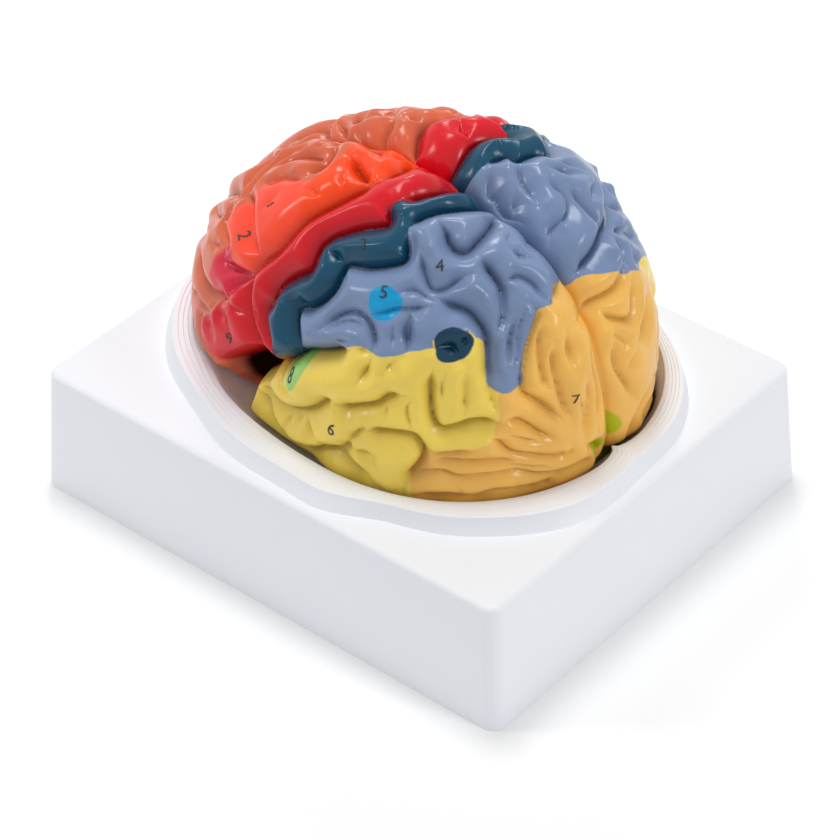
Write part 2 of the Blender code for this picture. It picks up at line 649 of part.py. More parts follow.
def plan_corners(length, width, radius, per_corner):
    """A rectangle with rounded corners, anticlockwise from the +X side."""
    points = []
    for turn, (sx, sy) in enumerate(((1, 1), (-1, 1), (-1, -1), (1, -1))):
        cx, cy = sx * (length / 2 - radius), sy * (width / 2 - radius)
        for k in range(per_corner):
            a = math.pi / 2 * (turn + k / (per_corner - 1))
            points.append((cx + radius * math.cos(a), cy + radius * math.sin(a)))
    return np.array(points)


def rim_profile():
    """The rim from its foot to the nest's mouth, as (share of the way out, height above the base)."""
    crest = 1 - RIM_WALL_SHARE
    profile = [(1.0, 0.0), (crest + 0.015, RIM_HEIGHT - 0.0005), (crest - 0.015, RIM_HEIGHT)]
    share, height = crest - 0.015, RIM_HEIGHT
    for _ in range(TERRACES):
        share -= TERRACE_SHARE * 0.8
        profile.append((share, height))
        share -= TERRACE_SHARE * 0.2
        height -= TERRACE_DROP
        profile.append((share, height))
    return [*profile, (0.05, RIM_HEIGHT - NEST_MOUTH_DROP * 0.85)]


class Shell:
    """Rings of vertices joined into the walls of one closed mesh."""

    def __init__(self):
        self.bm = bmesh.new()

    def ring(self, plan, z):
        return [self.bm.verts.new((x, y, z)) for x, y in plan]

    def wall(self, rings):
        """Faces between rings that have as many points as each other."""
        for one, other in zip(rings, rings[1:]):
            for k in range(len(one)):
                n = (k + 1) % len(one)
                self.bm.faces.new((one[k], one[n], other[n], other[k]))

    def flat(self, *rings):
        """A level face inside one ring, or between an outer and an inner one."""
        edges = []
        for ring in rings:
            for k, vert in enumerate(ring):
                pair = (vert, ring[(k + 1) % len(ring)])
                edges.append(self.bm.edges.get(pair) or self.bm.edges.new(pair))
        bmesh.ops.triangle_fill(self.bm, edges=edges, use_beauty=True)

    def mesh(self):
        bmesh.ops.recalc_face_normals(self.bm, faces=self.bm.faces)
        made = bpy.data.meshes.new("shell")
        self.bm.to_mesh(made)
        self.bm.free()
        return made


def base_shell():
    """Sides, top, rim and nest of the base as one thin skin, closed at the bottom of the nest."""
    angles = 2 * math.pi * np.arange(RIM_POINTS) / RIM_POINTS
    shell = Shell()

    def side_rings(inset, radius, edge_radius, top):
        rings = []
        lean = BASE_DRAFT / BASE_HEIGHT
        heights = [(0.0, 0.0), (top - edge_radius, 0.0)]
        for k in (1, 2, 3):
            a = math.pi / 6 * k
            heights.append((top - edge_radius * (1 - math.sin(a)), edge_radius * (1 - math.cos(a))))
        for z, rolled in heights:
            out = 2 * (lean * (BASE_HEIGHT - z) - inset - rolled)
            plan = plan_corners(BASE_LENGTH + out, BASE_WIDTH + out, max(radius - rolled, 0.0015), 5)
            rings.append(shell.ring(plan, z))
        return rings

    outside = side_rings(0.0, BASE_CORNER_RADIUS, BASE_EDGE_RADIUS, BASE_HEIGHT)
    inside = side_rings(BASE_WALL, BASE_CORNER_RADIUS - BASE_WALL, 0.001, BASE_HEIGHT - BASE_WALL)
    shell.wall(outside)
    shell.wall(inside)
    shell.wall([outside[0], inside[0]])

    mouth_z, floor_z = nest_span()
    mouth = nest_outline(mouth_z, NEST_CLEARANCE, angles)
    foot = rim_outline(angles, 0.0)
    rim = [shell.ring(mouth + share * (foot - mouth), BASE_HEIGHT + up) for share, up in rim_profile()]
    rim.append(shell.ring(mouth, mouth_z))
    levels = [floor_z + share * (mouth_z - floor_z) for share in NEST_LEVEL_SHARES]
    nest = [shell.ring(nest_outline(z, NEST_CLEARANCE, angles), z) for z in levels]
    lowest = nest_outline(levels[-1], NEST_CLEARANCE, angles)
    well = np.array(well_centre())
    floor = well + (lowest - well) * 0.9
    nest.append(shell.ring(floor, floor_z))
    shell.wall([*rim, *nest])
    shell.flat(outside[-1], rim[0])
    shell.flat(nest[-1])

    under = BASE_HEIGHT - BASE_WALL
    hollow_in = nest_outline(mouth_z, NEST_CLEARANCE + BASE_WALL, angles)
    hollow_out = outside_of(hollow_in, rim_outline(angles, BASE_WALL), RIM_HOLLOW_LEAST)
    inner = [shell.ring(hollow_out, under)]
    for share, drop_share in ((0.62, 0.26), (0.2, 0.85), (0.0, 0.94)):
        plan = hollow_in + share * (hollow_out - hollow_in)
        inner.append(shell.ring(plan, under + RIM_HEIGHT - drop_share * NEST_MOUTH_DROP))
    for z in levels[1:-1]:
        inner.append(shell.ring(nest_outline(z, NEST_CLEARANCE + BASE_WALL, angles), z))
    inner.append(shell.ring(lowest, floor_z - BASE_WALL))
    shell.wall(inner)
    shell.flat(inside[-1], inner[0])
    shell.flat(inner[-1])
    return shell.mesh()


def well_reach():
    """(front, back, side) of what hangs below the hemispheres, with the well's clearance."""
    cx, _, rx, ry, _ = cerebellum_size()
    top = FORM_CENTRE[2] - UNDERSIDE_BACK
    sections = [stem_section(k / 40) for k in range(41)]
    front = min(x - radius for x, z, radius in sections if z < top) - WELL_CLEARANCE
    return front, cx + rx + WELL_CLEARANCE, ry + WELL_CLEARANCE


def well_centre():
    front, back, _ = well_reach()
    return (front + back) / 2, MID_PLANE_Y


def well_plug(wall, top):
    """The space of the well, or with a wall its outside: a round-cornered tub that narrows downwards."""
    front, back, side = well_reach()
    floor = WELL_FLOOR - wall
    levels = 6
    shell = Shell()
    rings = []
    for k in range(levels):
        t = k / (levels - 1)
        draw = 2 * (WELL_DRAFT * (1 - t) + 0.004 * max(0.0, 1 - 4 * t) ** 2 - wall)
        plan = plan_corners(back - front - draw, 2 * side - draw, WELL_CORNER_RADIUS + wall, 8)
        rings.append(shell.ring(plan + np.array(well_centre()), floor + (top - floor) * t))
    shell.wall(rings)
    shell.flat(rings[0])
    shell.flat(rings[-1])
    return shell.mesh()


def nest_core():
    """The space of the nest out to the middle of its wall, so that what is cut with it ends there."""
    angles = 2 * math.pi * np.arange(RIM_POINTS) / RIM_POINTS
    mouth_z, floor_z = nest_span()
    heights = [mouth_z + BASE_WALL] + [floor_z + share * (mouth_z - floor_z) for share in NEST_LEVEL_SHARES]
    middle = NEST_CLEARANCE + BASE_WALL / 2
    shell = Shell()
    rings = [shell.ring(nest_outline(min(z, mouth_z), middle, angles), z) for z in heights]
    rings.append(shell.ring(nest_outline(heights[-1], NEST_CLEARANCE, angles), floor_z - BASE_WALL / 2))
    shell.wall(rings)
    shell.flat(rings[0])
    shell.flat(rings[-1])
    return shell.mesh()


def add_base(material):
    """The base shell, with the tub of the well joined on and opened from above. At the back and the
    sides the tub is wider than the floor of the nest, so its wall rises until it meets the nest's."""
    base = add_object("display_base", base_shell(), material, 40)
    tub = helper("well_outside", well_plug(BASE_WALL, BASE_HEIGHT - BASE_WALL / 2))
    boolean(tub, helper("nest_core", nest_core()), "DIFFERENCE")
    boolean(base, tub, "UNION")
    boolean(base, helper("well_space", well_plug(0.0, BASE_HEIGHT)), "DIFFERENCE")
    return base


def clear_scene():
    for old in list(bpy.data.objects):
        bpy.data.objects.remove(old, do_unlink=True)


def main():
    clear_scene()
    add_base(painted("white_plastic", (0.86, 0.87, 0.90), 0.35))
    bores = add_pins(painted("steel", (0.60, 0.60, 0.62), 0.3, 1.0))
    vinyl = painted("painted_vinyl", (0.62, 0.38, 0.28), 0.3)
    lower_forms = [cerebellum(), brainstem()]
    add_half("left_half", -1, LEFT_FOLDS, vinyl, lower_forms, bores)
    add_half("right_half", 1, RIGHT_FOLDS, vinyl, lower_forms, bores)


main()
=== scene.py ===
# %% [markdown]
# # A two-part brain model in the nest of its display base
#
# The object is a life-size teaching model. Two solid castings, the left and the right half of a
# brain, meet at the mid plane and lie in a white moulded base. Each region is painted in a colour of
# its own, and small numerals stand where a key would name a region.
#
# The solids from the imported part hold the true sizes, and this script dresses them. Everything that
# shows is made from formulas: an egg-shaped form, a map of folds pressed into it, and paint whose
# borders follow the folds. Lengths are in metres; places on the brain are angles in degrees.

# %% Load the solids
import math

import bmesh
import bpy
import numpy as np
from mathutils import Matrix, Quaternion, Vector


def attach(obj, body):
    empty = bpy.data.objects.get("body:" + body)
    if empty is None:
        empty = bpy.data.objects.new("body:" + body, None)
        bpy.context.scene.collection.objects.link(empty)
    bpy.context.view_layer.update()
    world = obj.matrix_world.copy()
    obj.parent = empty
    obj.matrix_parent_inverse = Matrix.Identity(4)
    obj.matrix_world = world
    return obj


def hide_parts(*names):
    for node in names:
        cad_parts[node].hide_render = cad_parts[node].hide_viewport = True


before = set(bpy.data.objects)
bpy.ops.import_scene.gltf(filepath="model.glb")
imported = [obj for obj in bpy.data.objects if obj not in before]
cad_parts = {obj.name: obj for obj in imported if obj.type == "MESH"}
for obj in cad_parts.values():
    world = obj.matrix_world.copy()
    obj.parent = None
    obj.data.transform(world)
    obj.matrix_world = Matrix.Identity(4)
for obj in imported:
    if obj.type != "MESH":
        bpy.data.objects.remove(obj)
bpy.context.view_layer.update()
print("solids:", sorted(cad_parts))

# %% [markdown]
# ## The smooth form
#
# Before any fold, the brain is a rounded egg. A point belongs to it when
# |x / length|^p + |y / width|^p + |z / height|^q is under 1. The length differs before and behind
# the centre, the height differs above and below it, and the underside is shallower at the front,
# where the frontal lobe lies higher than the temporal lobe. One formula is used rather than a
# sculpted mesh, because the nest of the base then follows from the same numbers.

# %% Numbers of the form
FRONT_REACH, BACK_REACH, SIDE_REACH, TOP_REACH = 0.104, 0.074, 0.0685, 0.090
BACK_WIDENING, BACK_RISE = 0.03, 0.12
UNDERSIDE_FRONT, UNDERSIDE_BACK, UNDERSIDE_STEP_X = 0.010, 0.022, (-0.067, -0.037)
FORM_ROUNDNESS, UNDERSIDE_ROUNDNESS = 2.1, 3.0
BASE_LENGTH, BASE_WIDTH, BASE_HEIGHT = 0.203, 0.166, 0.050
BRAIN_LIFT = 0.010
MID_PLANE_Y = 0.0035
MID_GAP = 0.0004
FORM_CENTRE = np.array([0.012, MID_PLANE_Y, BASE_HEIGHT + BRAIN_LIFT])
MAP_CENTRE = FORM_CENTRE + np.array([-0.007, 0.0, 0.025])
CAMERA_PLACE = np.array([0.61398, -0.70700, 0.78112])
TINY = 1e-9


def ease(x):
    """0 up to 0, 1 from 1 on, and a smooth step between them."""
    x = np.clip(x, 0.0, 1.0)
    return x * x * (3 - 2 * x)


def form_value(points):
    """Under 1 inside the smooth form of the brain, 1 on its surface, and over 1 outside."""
    away = points - FORM_CENTRE
    backward = away[..., 0] / (np.linalg.norm(away, axis=-1) + TINY)
    length = np.where(away[..., 0] < 0, FRONT_REACH, BACK_REACH)
    width = SIDE_REACH * (1 + BACK_WIDENING * backward)
    low, high = UNDERSIDE_STEP_X
    deeper = ease((away[..., 0] - low) / (high - low))
    under = UNDERSIDE_FRONT + (UNDERSIDE_BACK - UNDERSIDE_FRONT) * deeper
    above = away[..., 2] > 0
    height = np.where(above, TOP_REACH * (1 + BACK_RISE * backward), under)
    rounding = np.where(above, FORM_ROUNDNESS, UNDERSIDE_ROUNDNESS)
    return (
        np.abs(away[..., 0] / length) ** FORM_ROUNDNESS
        + np.abs(away[..., 1] / width) ** FORM_ROUNDNESS
        + np.abs(away[..., 2] / height) ** rounding
    )


# %% [markdown]
# ## The fold map
#
# Each half is described on a round map that looks out sideways from a centre inside the brain. A
# place on the map is a pair (back, up) in degrees. Its distance from the middle of the map is the
# angle from the sideways direction, so 90 degrees out is the mid plane. This keeps the whole side of
# the brain free of a pole: the only places that stretch are at the rim of the map, which lies in the
# fissure between the halves.

# %% Places on the map
MAP_RIM = 90.0
REACH_SPAN, REACH_HALVINGS = (0.004, 0.160), 22
ROLL_WIDTH_AT_POLES, ROLL_WIDTH_ON_CROWN = 10.0, 35.0
ROLL_CROWN_AT, ROLL_CROWN_SPREAD = 65.0, 28.0
ROLL_DEPTH_PER_DEGREE = 0.0008
TEMPORAL_NOTCH, TEMPORAL_NOTCH_SPREAD, TEMPORAL_NOTCH_DEPTH = (-27.0, -13.0), 9.0, 0.006
LEFT, RIGHT = -1, 1


def map_direction(back, up, side):
    """The direction in which a place of the map lies, on the LEFT or RIGHT side."""
    out, turn = np.radians(np.hypot(back, up)), np.arctan2(up, back)
    sideways = side * np.cos(out)
    return np.stack([np.sin(out) * np.cos(turn), sideways, np.sin(out) * np.sin(turn)], -1)


def last_inside(is_inside, shape, span, halvings):
    """The farthest distance that is still inside, one for each place, found by halving the span."""
    near, far = np.full(shape, span[0]), np.full(shape, span[1])
    for _ in range(halvings):
        middle = (near + far) / 2
        inside = is_inside(middle)
        near, far = np.where(inside, middle, near), np.where(inside, far, middle)
    return near


def form_reach(direction):
    """How far the smooth form reaches from the map's centre."""
    def is_inside(reach):
        return form_value(MAP_CENTRE + direction * reach[..., None]) < 1
    return last_inside(is_inside, direction.shape[:-1], REACH_SPAN, REACH_HALVINGS)


def roll_depth(back, up):
    """How far the surface has rolled down into the fissure between the halves: a quarter turn of an
    ellipse that is widest on the crown."""
    turn = np.degrees(np.arctan2(up, back))
    crown = np.exp(-(((turn - ROLL_CROWN_AT) / ROLL_CROWN_SPREAD) ** 2) / 2)
    width = ROLL_WIDTH_AT_POLES + (ROLL_WIDTH_ON_CROWN - ROLL_WIDTH_AT_POLES) * crown
    into_roll = np.clip((np.hypot(back, up) - (MAP_RIM - width)) / width, 0, 1)
    return ROLL_DEPTH_PER_DEGREE * width * (1 - np.sqrt(1 - into_roll**2))


def smooth_points(back, up, side):
    """Points of the form at these places of the map, with the roll into the fissure and the notch
    before the temporal lobe, but without folds."""
    back, up = np.asarray(back, float), np.asarray(up, float)
    away = np.hypot(back - TEMPORAL_NOTCH[0], up - TEMPORAL_NOTCH[1]) / TEMPORAL_NOTCH_SPREAD
    dip = TEMPORAL_NOTCH_DEPTH * np.exp(-(away**2) / 2)
    out = map_direction(back, up, side)
    reach = form_reach(out) - roll_depth(back, up) - dip
    return MAP_CENTRE + out * reach[..., None]


def curve_through(places, step=1.0):
    """A smooth curve through the places (Catmull-Rom), with a point about every step."""
    places = np.array(places, float)
    padded = np.vstack([2 * places[0] - places[1], places, 2 * places[-1] - places[-2]])
    pieces = []
    for before, start, end, after in zip(padded, padded[1:], padded[2:], padded[3:]):
        count = max(2, math.ceil(np.linalg.norm(end - start) / step))
        t = np.arange(count)[:, None] / count
        pieces.append(
            0.5
            * (
                2 * start
                + (end - before) * t
                + (2 * before - 5 * start + 4 * end - after) * t**2
                + (3 * start - before - 3 * end + after) * t**3
            )
        )
    return np.vstack([*pieces, places[-1]])


# %% [markdown]
# ## The folds
#
# Each groove is a curve on the map with a kind. The kind says how deep the groove is, how wide it is
# from its bottom to the crest of the fold beside it, and how much of it is a tight crease and not an
# open bowl. The side and the underside are alike on both halves. The crowns differ, as the two
# hemispheres of a real brain do, so each half has a list of its own, and the three main grooves have
# a top of their own on each crown. A groove is listed where its dark line shows from the camera,
# because that is what a picture gives, and is then moved back by the last number of its kind.

# %% Kinds of groove, and where a groove lies when it shows at a place
CREASE, BOWL = 0.85, 0.0
MOVED, KEPT = 0.5, 0.0
FOLD_KINDS = {  # depth, width, share of crease, share of the depth by which it is moved back
    "hollow": (0.0150, 0.0090, BOWL, KEPT),
    "deep": (0.0105, 0.0096, CREASE, MOVED),
    "main": (0.0078, 0.0088, CREASE, MOVED),
    "fold": (0.0056, 0.0074, CREASE, MOVED),
    "soft": (0.0040, 0.0064, CREASE, MOVED),
    "tight": (0.0034, 0.0044, CREASE, MOVED),
    "dent": (0.0036, 0.0050, BOWL, MOVED),
    "fine": (0.0016, 0.0044, CREASE, MOVED),
}
LEAST_FACING = 0.5
MOVE_ENDS_AT, MOVE_FADE = 89.0, 8.0


def set_back(places, kind, side):
    """The places, moved away from the camera along the form. The bottom of a groove lies deeper than
    the place where its dark line shows, so farther back by a share of its depth times the tangent of
    the angle between the line of sight and the form's outward direction."""
    depth, _, _, share = FOLD_KINDS[kind]
    back, up = np.array(places, float).T
    points, out = smooth_points(back, up, side), map_direction(back, up, side)
    sight = CAMERA_PLACE - points
    sight /= np.linalg.norm(sight, axis=1)[:, None]
    facing = (sight * out).sum(1)[:, None]
    shift = share * depth / np.maximum(facing, LEAST_FACING)
    shift *= ease((MOVE_ENDS_AT - np.hypot(back, up)) / MOVE_FADE)[:, None]
    away = points - MAP_CENTRE - shift * (sight - facing * out)
    away /= np.linalg.norm(away, axis=1)[:, None]
    angle = np.degrees(np.arccos(np.clip(side * away[:, 1], -1, 1)))
    turn = np.arctan2(away[:, 2], away[:, 0])
    return np.stack([angle * np.cos(turn), angle * np.sin(turn)], 1)


# %% Grooves of both halves
CENTRAL = [(12, 62), (11, 59), (12.5, 55), (5, 52), (-2, 48), (-7, 44), (-9, 40), (-9, 33),
           (-12, 30), (-16, 26), (-18.5, 22), (-19, 18), (-20.5, 15), (-20, 11), (-17.5, 6),
           (-15, 1)]
PRECENTRAL = [(0, 66), (-5, 62), (-10, 57), (-15, 51.5), (-20, 45), (-23, 37), (-25, 31), (-29, 26),
              (-31, 22), (-31, 18), (-29, 12), (-26, 6), (-22, 0), (-20, -2.5)]
POSTCENTRAL = [(21, 54), (23, 50), (24, 46), (20, 43.5), (13, 41), (5, 39.5), (4, 36), (3, 31),
               (0, 26), (-4, 22), (-8, 20), (-7, 15), (-5, 11), (-2.5, 8)]
SYLVIAN = [(-34, -15), (-30, -11.5), (-25, -8), (-22, -6), (-18, -3.5), (-12, -1), (-9.5, 1.5),
           (-5, 5.5), (-2.5, 8), (0, 9.5), (5, 11.5), (10, 14), (15, 17)]
LOW_FRONTAL = [(-57, 29), (-55, 32), (-50, 32.5), (-46, 31), (-42, 29), (-38, 27), (-33, 25.5),
               (-31, 25)]
SIDE_FOLDS = [
    ("deep", SYLVIAN), ("main", CENTRAL), ("main", PRECENTRAL), ("main", POSTCENTRAL),
    ("hollow", [(-40, -24), (-36, -19.5), (-32, -16), (-28.5, -12.5), (-25.5, -9.5), (-23, -7)]),
    ("hollow", [(-37, -31), (-33.5, -24), (-31, -18)]),
    ("soft", [(14, 17), (20, 17.5), (23, 16.5)]), ("soft", [(-27, 4), (-24, 0), (-22, -1.5)]),
    ("soft", [(-17, -6), (-12.5, -7.8), (-8, -8.3), (-4, -7.5)]),
    ("fold", [(5, 39.5), (0, 40.5), (-6, 41.5)]), ("fold", [(-3, 24), (-8, 22), (-14, 20.5)]),
    ("fold", LOW_FRONTAL),
    ("tight", [(-60, 26), (-57.5, 22.5), (-57, 19.5), (-53, 18.3), (-48.5, 18.3), (-46.5, 16)]),
    ("fold", [(-46.5, 16), (-45.8, 14.3), (-42, 14.8), (-38, 16.5), (-34, 18.5), (-31, 20.3)]),
    ("dent", [(-50.5, 15.5), (-48, 16.2)]), ("tight", [(-58, 11.5), (-55, 13), (-51.5, 15)]),
    ("fold", [(-31.5, 19.5), (-34.5, 16.5), (-37.3, 13), (-38.3, 9.5), (-38.5, 6.5)]),
    ("tight", [(-33.5, 15.8), (-32.5, 11.5), (-30, 7.5), (-27, 4.5), (-24.5, 1)]),
    ("tight", [(-28.5, 14), (-27, 9), (-24, 4)]),
    ("tight", [(-24.5, 15.5), (-22.5, 9), (-20, 4.5)]),
    ("fold", [(-63, 3), (-60, 1.3), (-55, 0.2), (-50, 0.8), (-46, 2.2), (-43, 4), (-40, 5.7),
              (-38, 6.8)]),
    ("tight", [(-38.5, 5.5), (-35.5, 4.6), (-32.5, 5), (-30, 4.5), (-27.5, 2.5)]),
    ("dent", [(-42.5, 2), (-42.3, -1.5), (-39.5, -2.5)]),
    ("tight", [(-40.5, 3), (-39.8, -0.5), (-37, -4)]),
    ("tight", [(-45.5, 1.5), (-46.3, -2), (-47.3, -4.5)]),
    ("dent", [(-46.8, -6), (-46, -9), (-44.5, -9.8)]),
    ("tight", [(-46.5, -4), (-50, -6), (-56, -7.5), (-63, -11)]),
    ("tight", [(-50, -6.5), (-52, -11), (-50.5, -16), (-44.5, -18.3), (-37.5, -17.2), (-32, -14)]),
    ("main", [(-22, -14), (-17, -14.5), (-11, -14), (-5, -12), (0, -9.5), (5, -6), (10, -1),
              (12, -0.5)]),
    ("main", [(11, -1), (15, -1.5), (20, 0.5), (25, 3), (28, 6), (33, 8.5)]),
    ("fold", [(2, -9), (1.8, -12), (3.2, -15), (6.5, -17)]),
    ("fold", [(15, -12.5), (18, -9), (21, -5.5), (21, -3)]), ("soft", [(21, -3), (21.5, 0)]),
    ("main", [(5, -19.5), (9, -17), (13, -15), (15.5, -13.5), (18, -9)]),
    ("main", [(21, -5.5), (25, -5), (30, -4.2), (34.5, -4), (36.5, -6), (37.3, -8.5), (36, -12),
              (33, -16), (31, -19)]), ("fold", [(37.3, -8.5), (40, -9), (45, -8.5), (50, -7)]),
    ("fold", [(16, -14), (20, -13.2), (23.5, -13), (24.8, -15)]),
    ("soft", [(27, 6), (27.5, 1), (26, -3)]),
    ("fold", [(38, -10.5), (46, -11), (54, -11.5), (60, -13)]),
    ("fold", [(33, -21.5), (37, -21.5), (42, -21), (47, -22), (52, -20.8), (57, -21.8), (62, -23),
              (68, -24)]), ("tight", [(43.5, -17), (45, -21.5)]),
    ("tight", [(57, -18), (58.5, -22)]), ("tight", [(66, -21), (65, -24)]),
    ("main", [(39, 17), (39, 10), (40, 2), (42, -1), (46, 0), (50, 1.5), (57, 1)]),
    ("soft", [(42.3, 17), (42, 10), (42.5, 5)]), ("soft", [(47.5, 18), (47.8, 8), (47, 2)]),
    ("soft", [(35, 8), (33, 3), (35, -4)]), ("fold", [(22, 16.5), (20.5, 12), (18, 7)]),
    ("soft", [(29.5, 18), (27, 15), (25.5, 12)]), ("soft", [(-10.5, -14), (-12, -18)]),
    ("fold", [(-5, -12.5), (-6.5, -16), (-8, -20)]), ("fold", [(0, -10), (-2, -13.5), (-3.5, -17)]),
    ("main", [(-23, -16), (-17, -18), (-12, -20.5), (-3, -23), (3, -21), (8, -18), (14, -16),
              (24, -20)]),
    ("fold", [(53, -3), (55.5, -5.5), (58, -9.5), (63, -12.5), (68, -15.5), (71.5, -16),
              (72.5, -13)]), ("fold", [(56, 0.8), (60, 0.6), (63, -2), (66, -6), (69.5, -9.5)]),
    ("soft", [(57, -3), (62, -7), (67, -10)]), ("soft", [(55, -12.5), (61, -16), (68, -19.5)]),
    ("fold", [(31, -18), (40, -14), (45, -15.5), (52, -15.5), (58, -16), (63, -19), (69, -22),
              (78, -24)]), ("fold", [(-30, -30), (-10, -34), (10, -33), (30, -33), (50, -33)]),
    ("soft", [(-45, -26), (-52, -35)]), ("fold", [(-60, -18), (-50, -22), (-40, -22)]),
    ("fold", [(-57, 29), (-65, 26), (-73, 17), (-82, 7)]),
    ("fold", [(-63, 45), (-71, 35), (-79, 23)]), ("fold", [(-63, 9), (-73, 3), (-82, -7)]),
    ("soft", [(-60, 20), (-68, 13), (-76, 10)]), ("soft", [(-66, -12), (-76, -16)]),
    ("fold", [(76, -15), (80, -24), (78, -32)]), ("fold", [(85, 12), (86, -2), (82, -15)]),
    ("fold", [(30, 33), (31, 27), (31.5, 21), (31, 19)]),
    ("fold", [(3, 18.5), (5.5, 22), (9.5, 25.8), (14, 27.5), (18.5, 26), (21.3, 22), (22.3, 16.5)]),
    ("soft", [(2, 18), (7, 21.5), (12, 24), (16, 24), (19, 21.5)]),
    ("soft", [(5, 15.5), (10, 17), (15, 19.5)]), ("soft", [(27, 18.5), (26.5, 24), (26, 28)]),
    ("fold", [(32, 19.5), (30.5, 25), (30, 31)]),
    ("fold", [(38.5, 23.2), (41, 23.6), (44, 23), (46, 19.5)]),
    ("fold", [(44, 23), (46.5, 25.5), (47, 29)]),
    ("fold", [(18.5, 28.8), (22, 30), (26.5, 32.3), (31, 33.2), (36, 34.6)]),
]

# %% Grooves of the left crown
LEFT_TOPS = ([(26, 82), (24, 75), (21, 70), (16, 65)], [(1, 79), (2, 74), (1, 70)],
             [(38, 69), (31, 65), (27, 63), (23, 60), (21, 57)])
LEFT_FOLDS = [
    ("main", [*LEFT_TOPS[0], CENTRAL[0]]), ("main", [(-2, 87), *LEFT_TOPS[1], PRECENTRAL[0]]),
    ("main", [(45, 77), *LEFT_TOPS[2], POSTCENTRAL[0]]),
    ("fine", [(20, 60), (25, 63), (31, 64.5)]), ("soft", [(21, 57), (24, 52), (26, 47), (28, 45)]),
    ("main", [(28, 59), (32, 56.5), (35, 53), (38, 51), (41, 51.5), (43, 55), (45, 59), (46, 62),
              (47, 67)]),
    ("fold", [(27, 50), (30, 45), (33, 40.5), (35, 39), (38, 40), (41, 43), (44, 45)]),
    ("soft", [(24, 35.5), (29, 38), (34, 36.5), (38, 35.5)]),
    ("main", [(36, 37), (41, 35.5), (46, 34), (50, 30), (52, 26), (53, 20), (53.5, 12)]),
    ("main", [(44, 50.5), (49, 46), (53, 41.5), (54.5, 37), (55, 32), (53, 27)]),
    ("fold", [(53, 41.5), (56, 44.5), (59, 44.5), (63, 42), (66, 38), (68, 36)]),
    ("soft", [(53.5, 20), (54, 10), (56, 2)]),
    ("fold", [(62, 36.5), (65, 33), (64, 28), (62.5, 20), (62, 10), (65, 6), (68, 2), (72, -4)]),
    ("fold", [(58.8, 34), (58.0, 25), (58.2, 17)]),
    ("soft", [(61, 36), (60.2, 28), (60.6, 20), (59.5, 14)]),
    ("fold", [(54, 28), (54.8, 22), (55.5, 14)]), ("soft", [(53, 61), (52, 55)]),
    ("fold", [(53, 54), (58, 51.5), (61, 51)]),
    ("fold", [(66.3, 31), (66.2, 22), (67.8, 12), (69.5, 6)]),
    ("soft", [(64, 8.5), (68, 3), (71, -2)]),
    ("fold", [(69.8, 24), (70.5, 15), (72, 6), (73.8, -5)]),
    ("fold", [(73.5, 26), (75, 19), (76, 12)]), ("soft", [(77, 2), (78.5, -6), (76, -13)]),
    ("soft", [(80, 8), (80.5, 0), (79, -8), (76, -15)]),
    ("main", [(-22, 68.5), (-10, 66), (-2, 64.5)]),
    ("main", [(-55, 65), (-50, 68), (-45, 69.5), (-38, 70), (-36, 73), (-34, 76), (-25, 78),
              (-15, 77), (-10, 75)]), ("main", [(-10, 75), (-8, 79), (-7, 84)]),
    ("fold", [(-38.5, 70), (-37, 67), (-32.5, 64.5), (-30.5, 61.5), (-32, 58.5), (-33, 55.5),
              (-30.5, 53.5)]),
    ("fold", [(-31, 61.5), (-37.5, 61), (-44, 58.5), (-49.5, 54.5), (-53.5, 49), (-54.5, 44.5)]),
    ("fold", [(-50, 60), (-53.5, 57), (-57.5, 51), (-58.5, 44.5), (-57.5, 38), (-57, 33.5),
              (-57, 30)]),
    ("tight", [(-66, 48), (-64.5, 43), (-64, 38), (-63.5, 34), (-62.5, 29.5), (-63.5, 25)]),
    ("tight", [(-53, 40), (-50.5, 41), (-47.5, 44.5), (-44.5, 48), (-39, 50.8), (-33, 53.3)]),
    ("dent", [(-48, 48.8), (-45.5, 49.2)]), ("tight", [(-47, 65.5), (-46, 62.5), (-49, 60.5)]),
    ("tight", [(-28.5, 52.5), (-24, 52.8), (-20, 54)]),
    ("tight", [(-21.5, 67), (-18, 62.5), (-14, 57.5)]), ("fine", [(-29, 46), (-30, 38), (-33, 31)]),
    ("fine", [(-41, 42), (-43, 36)]), ("fold", [(10, 79), (12, 87)]),
    ("fold", [(46, 66), (52, 71)]), ("soft", [(60, 56), (65, 60)]), ("fold", [(68, 36), (77, 42)]),
    ("soft", [(78, 27), (85, 27)]), ("fold", [(-60, 58), (-67, 50), (-75, 42)]),
]

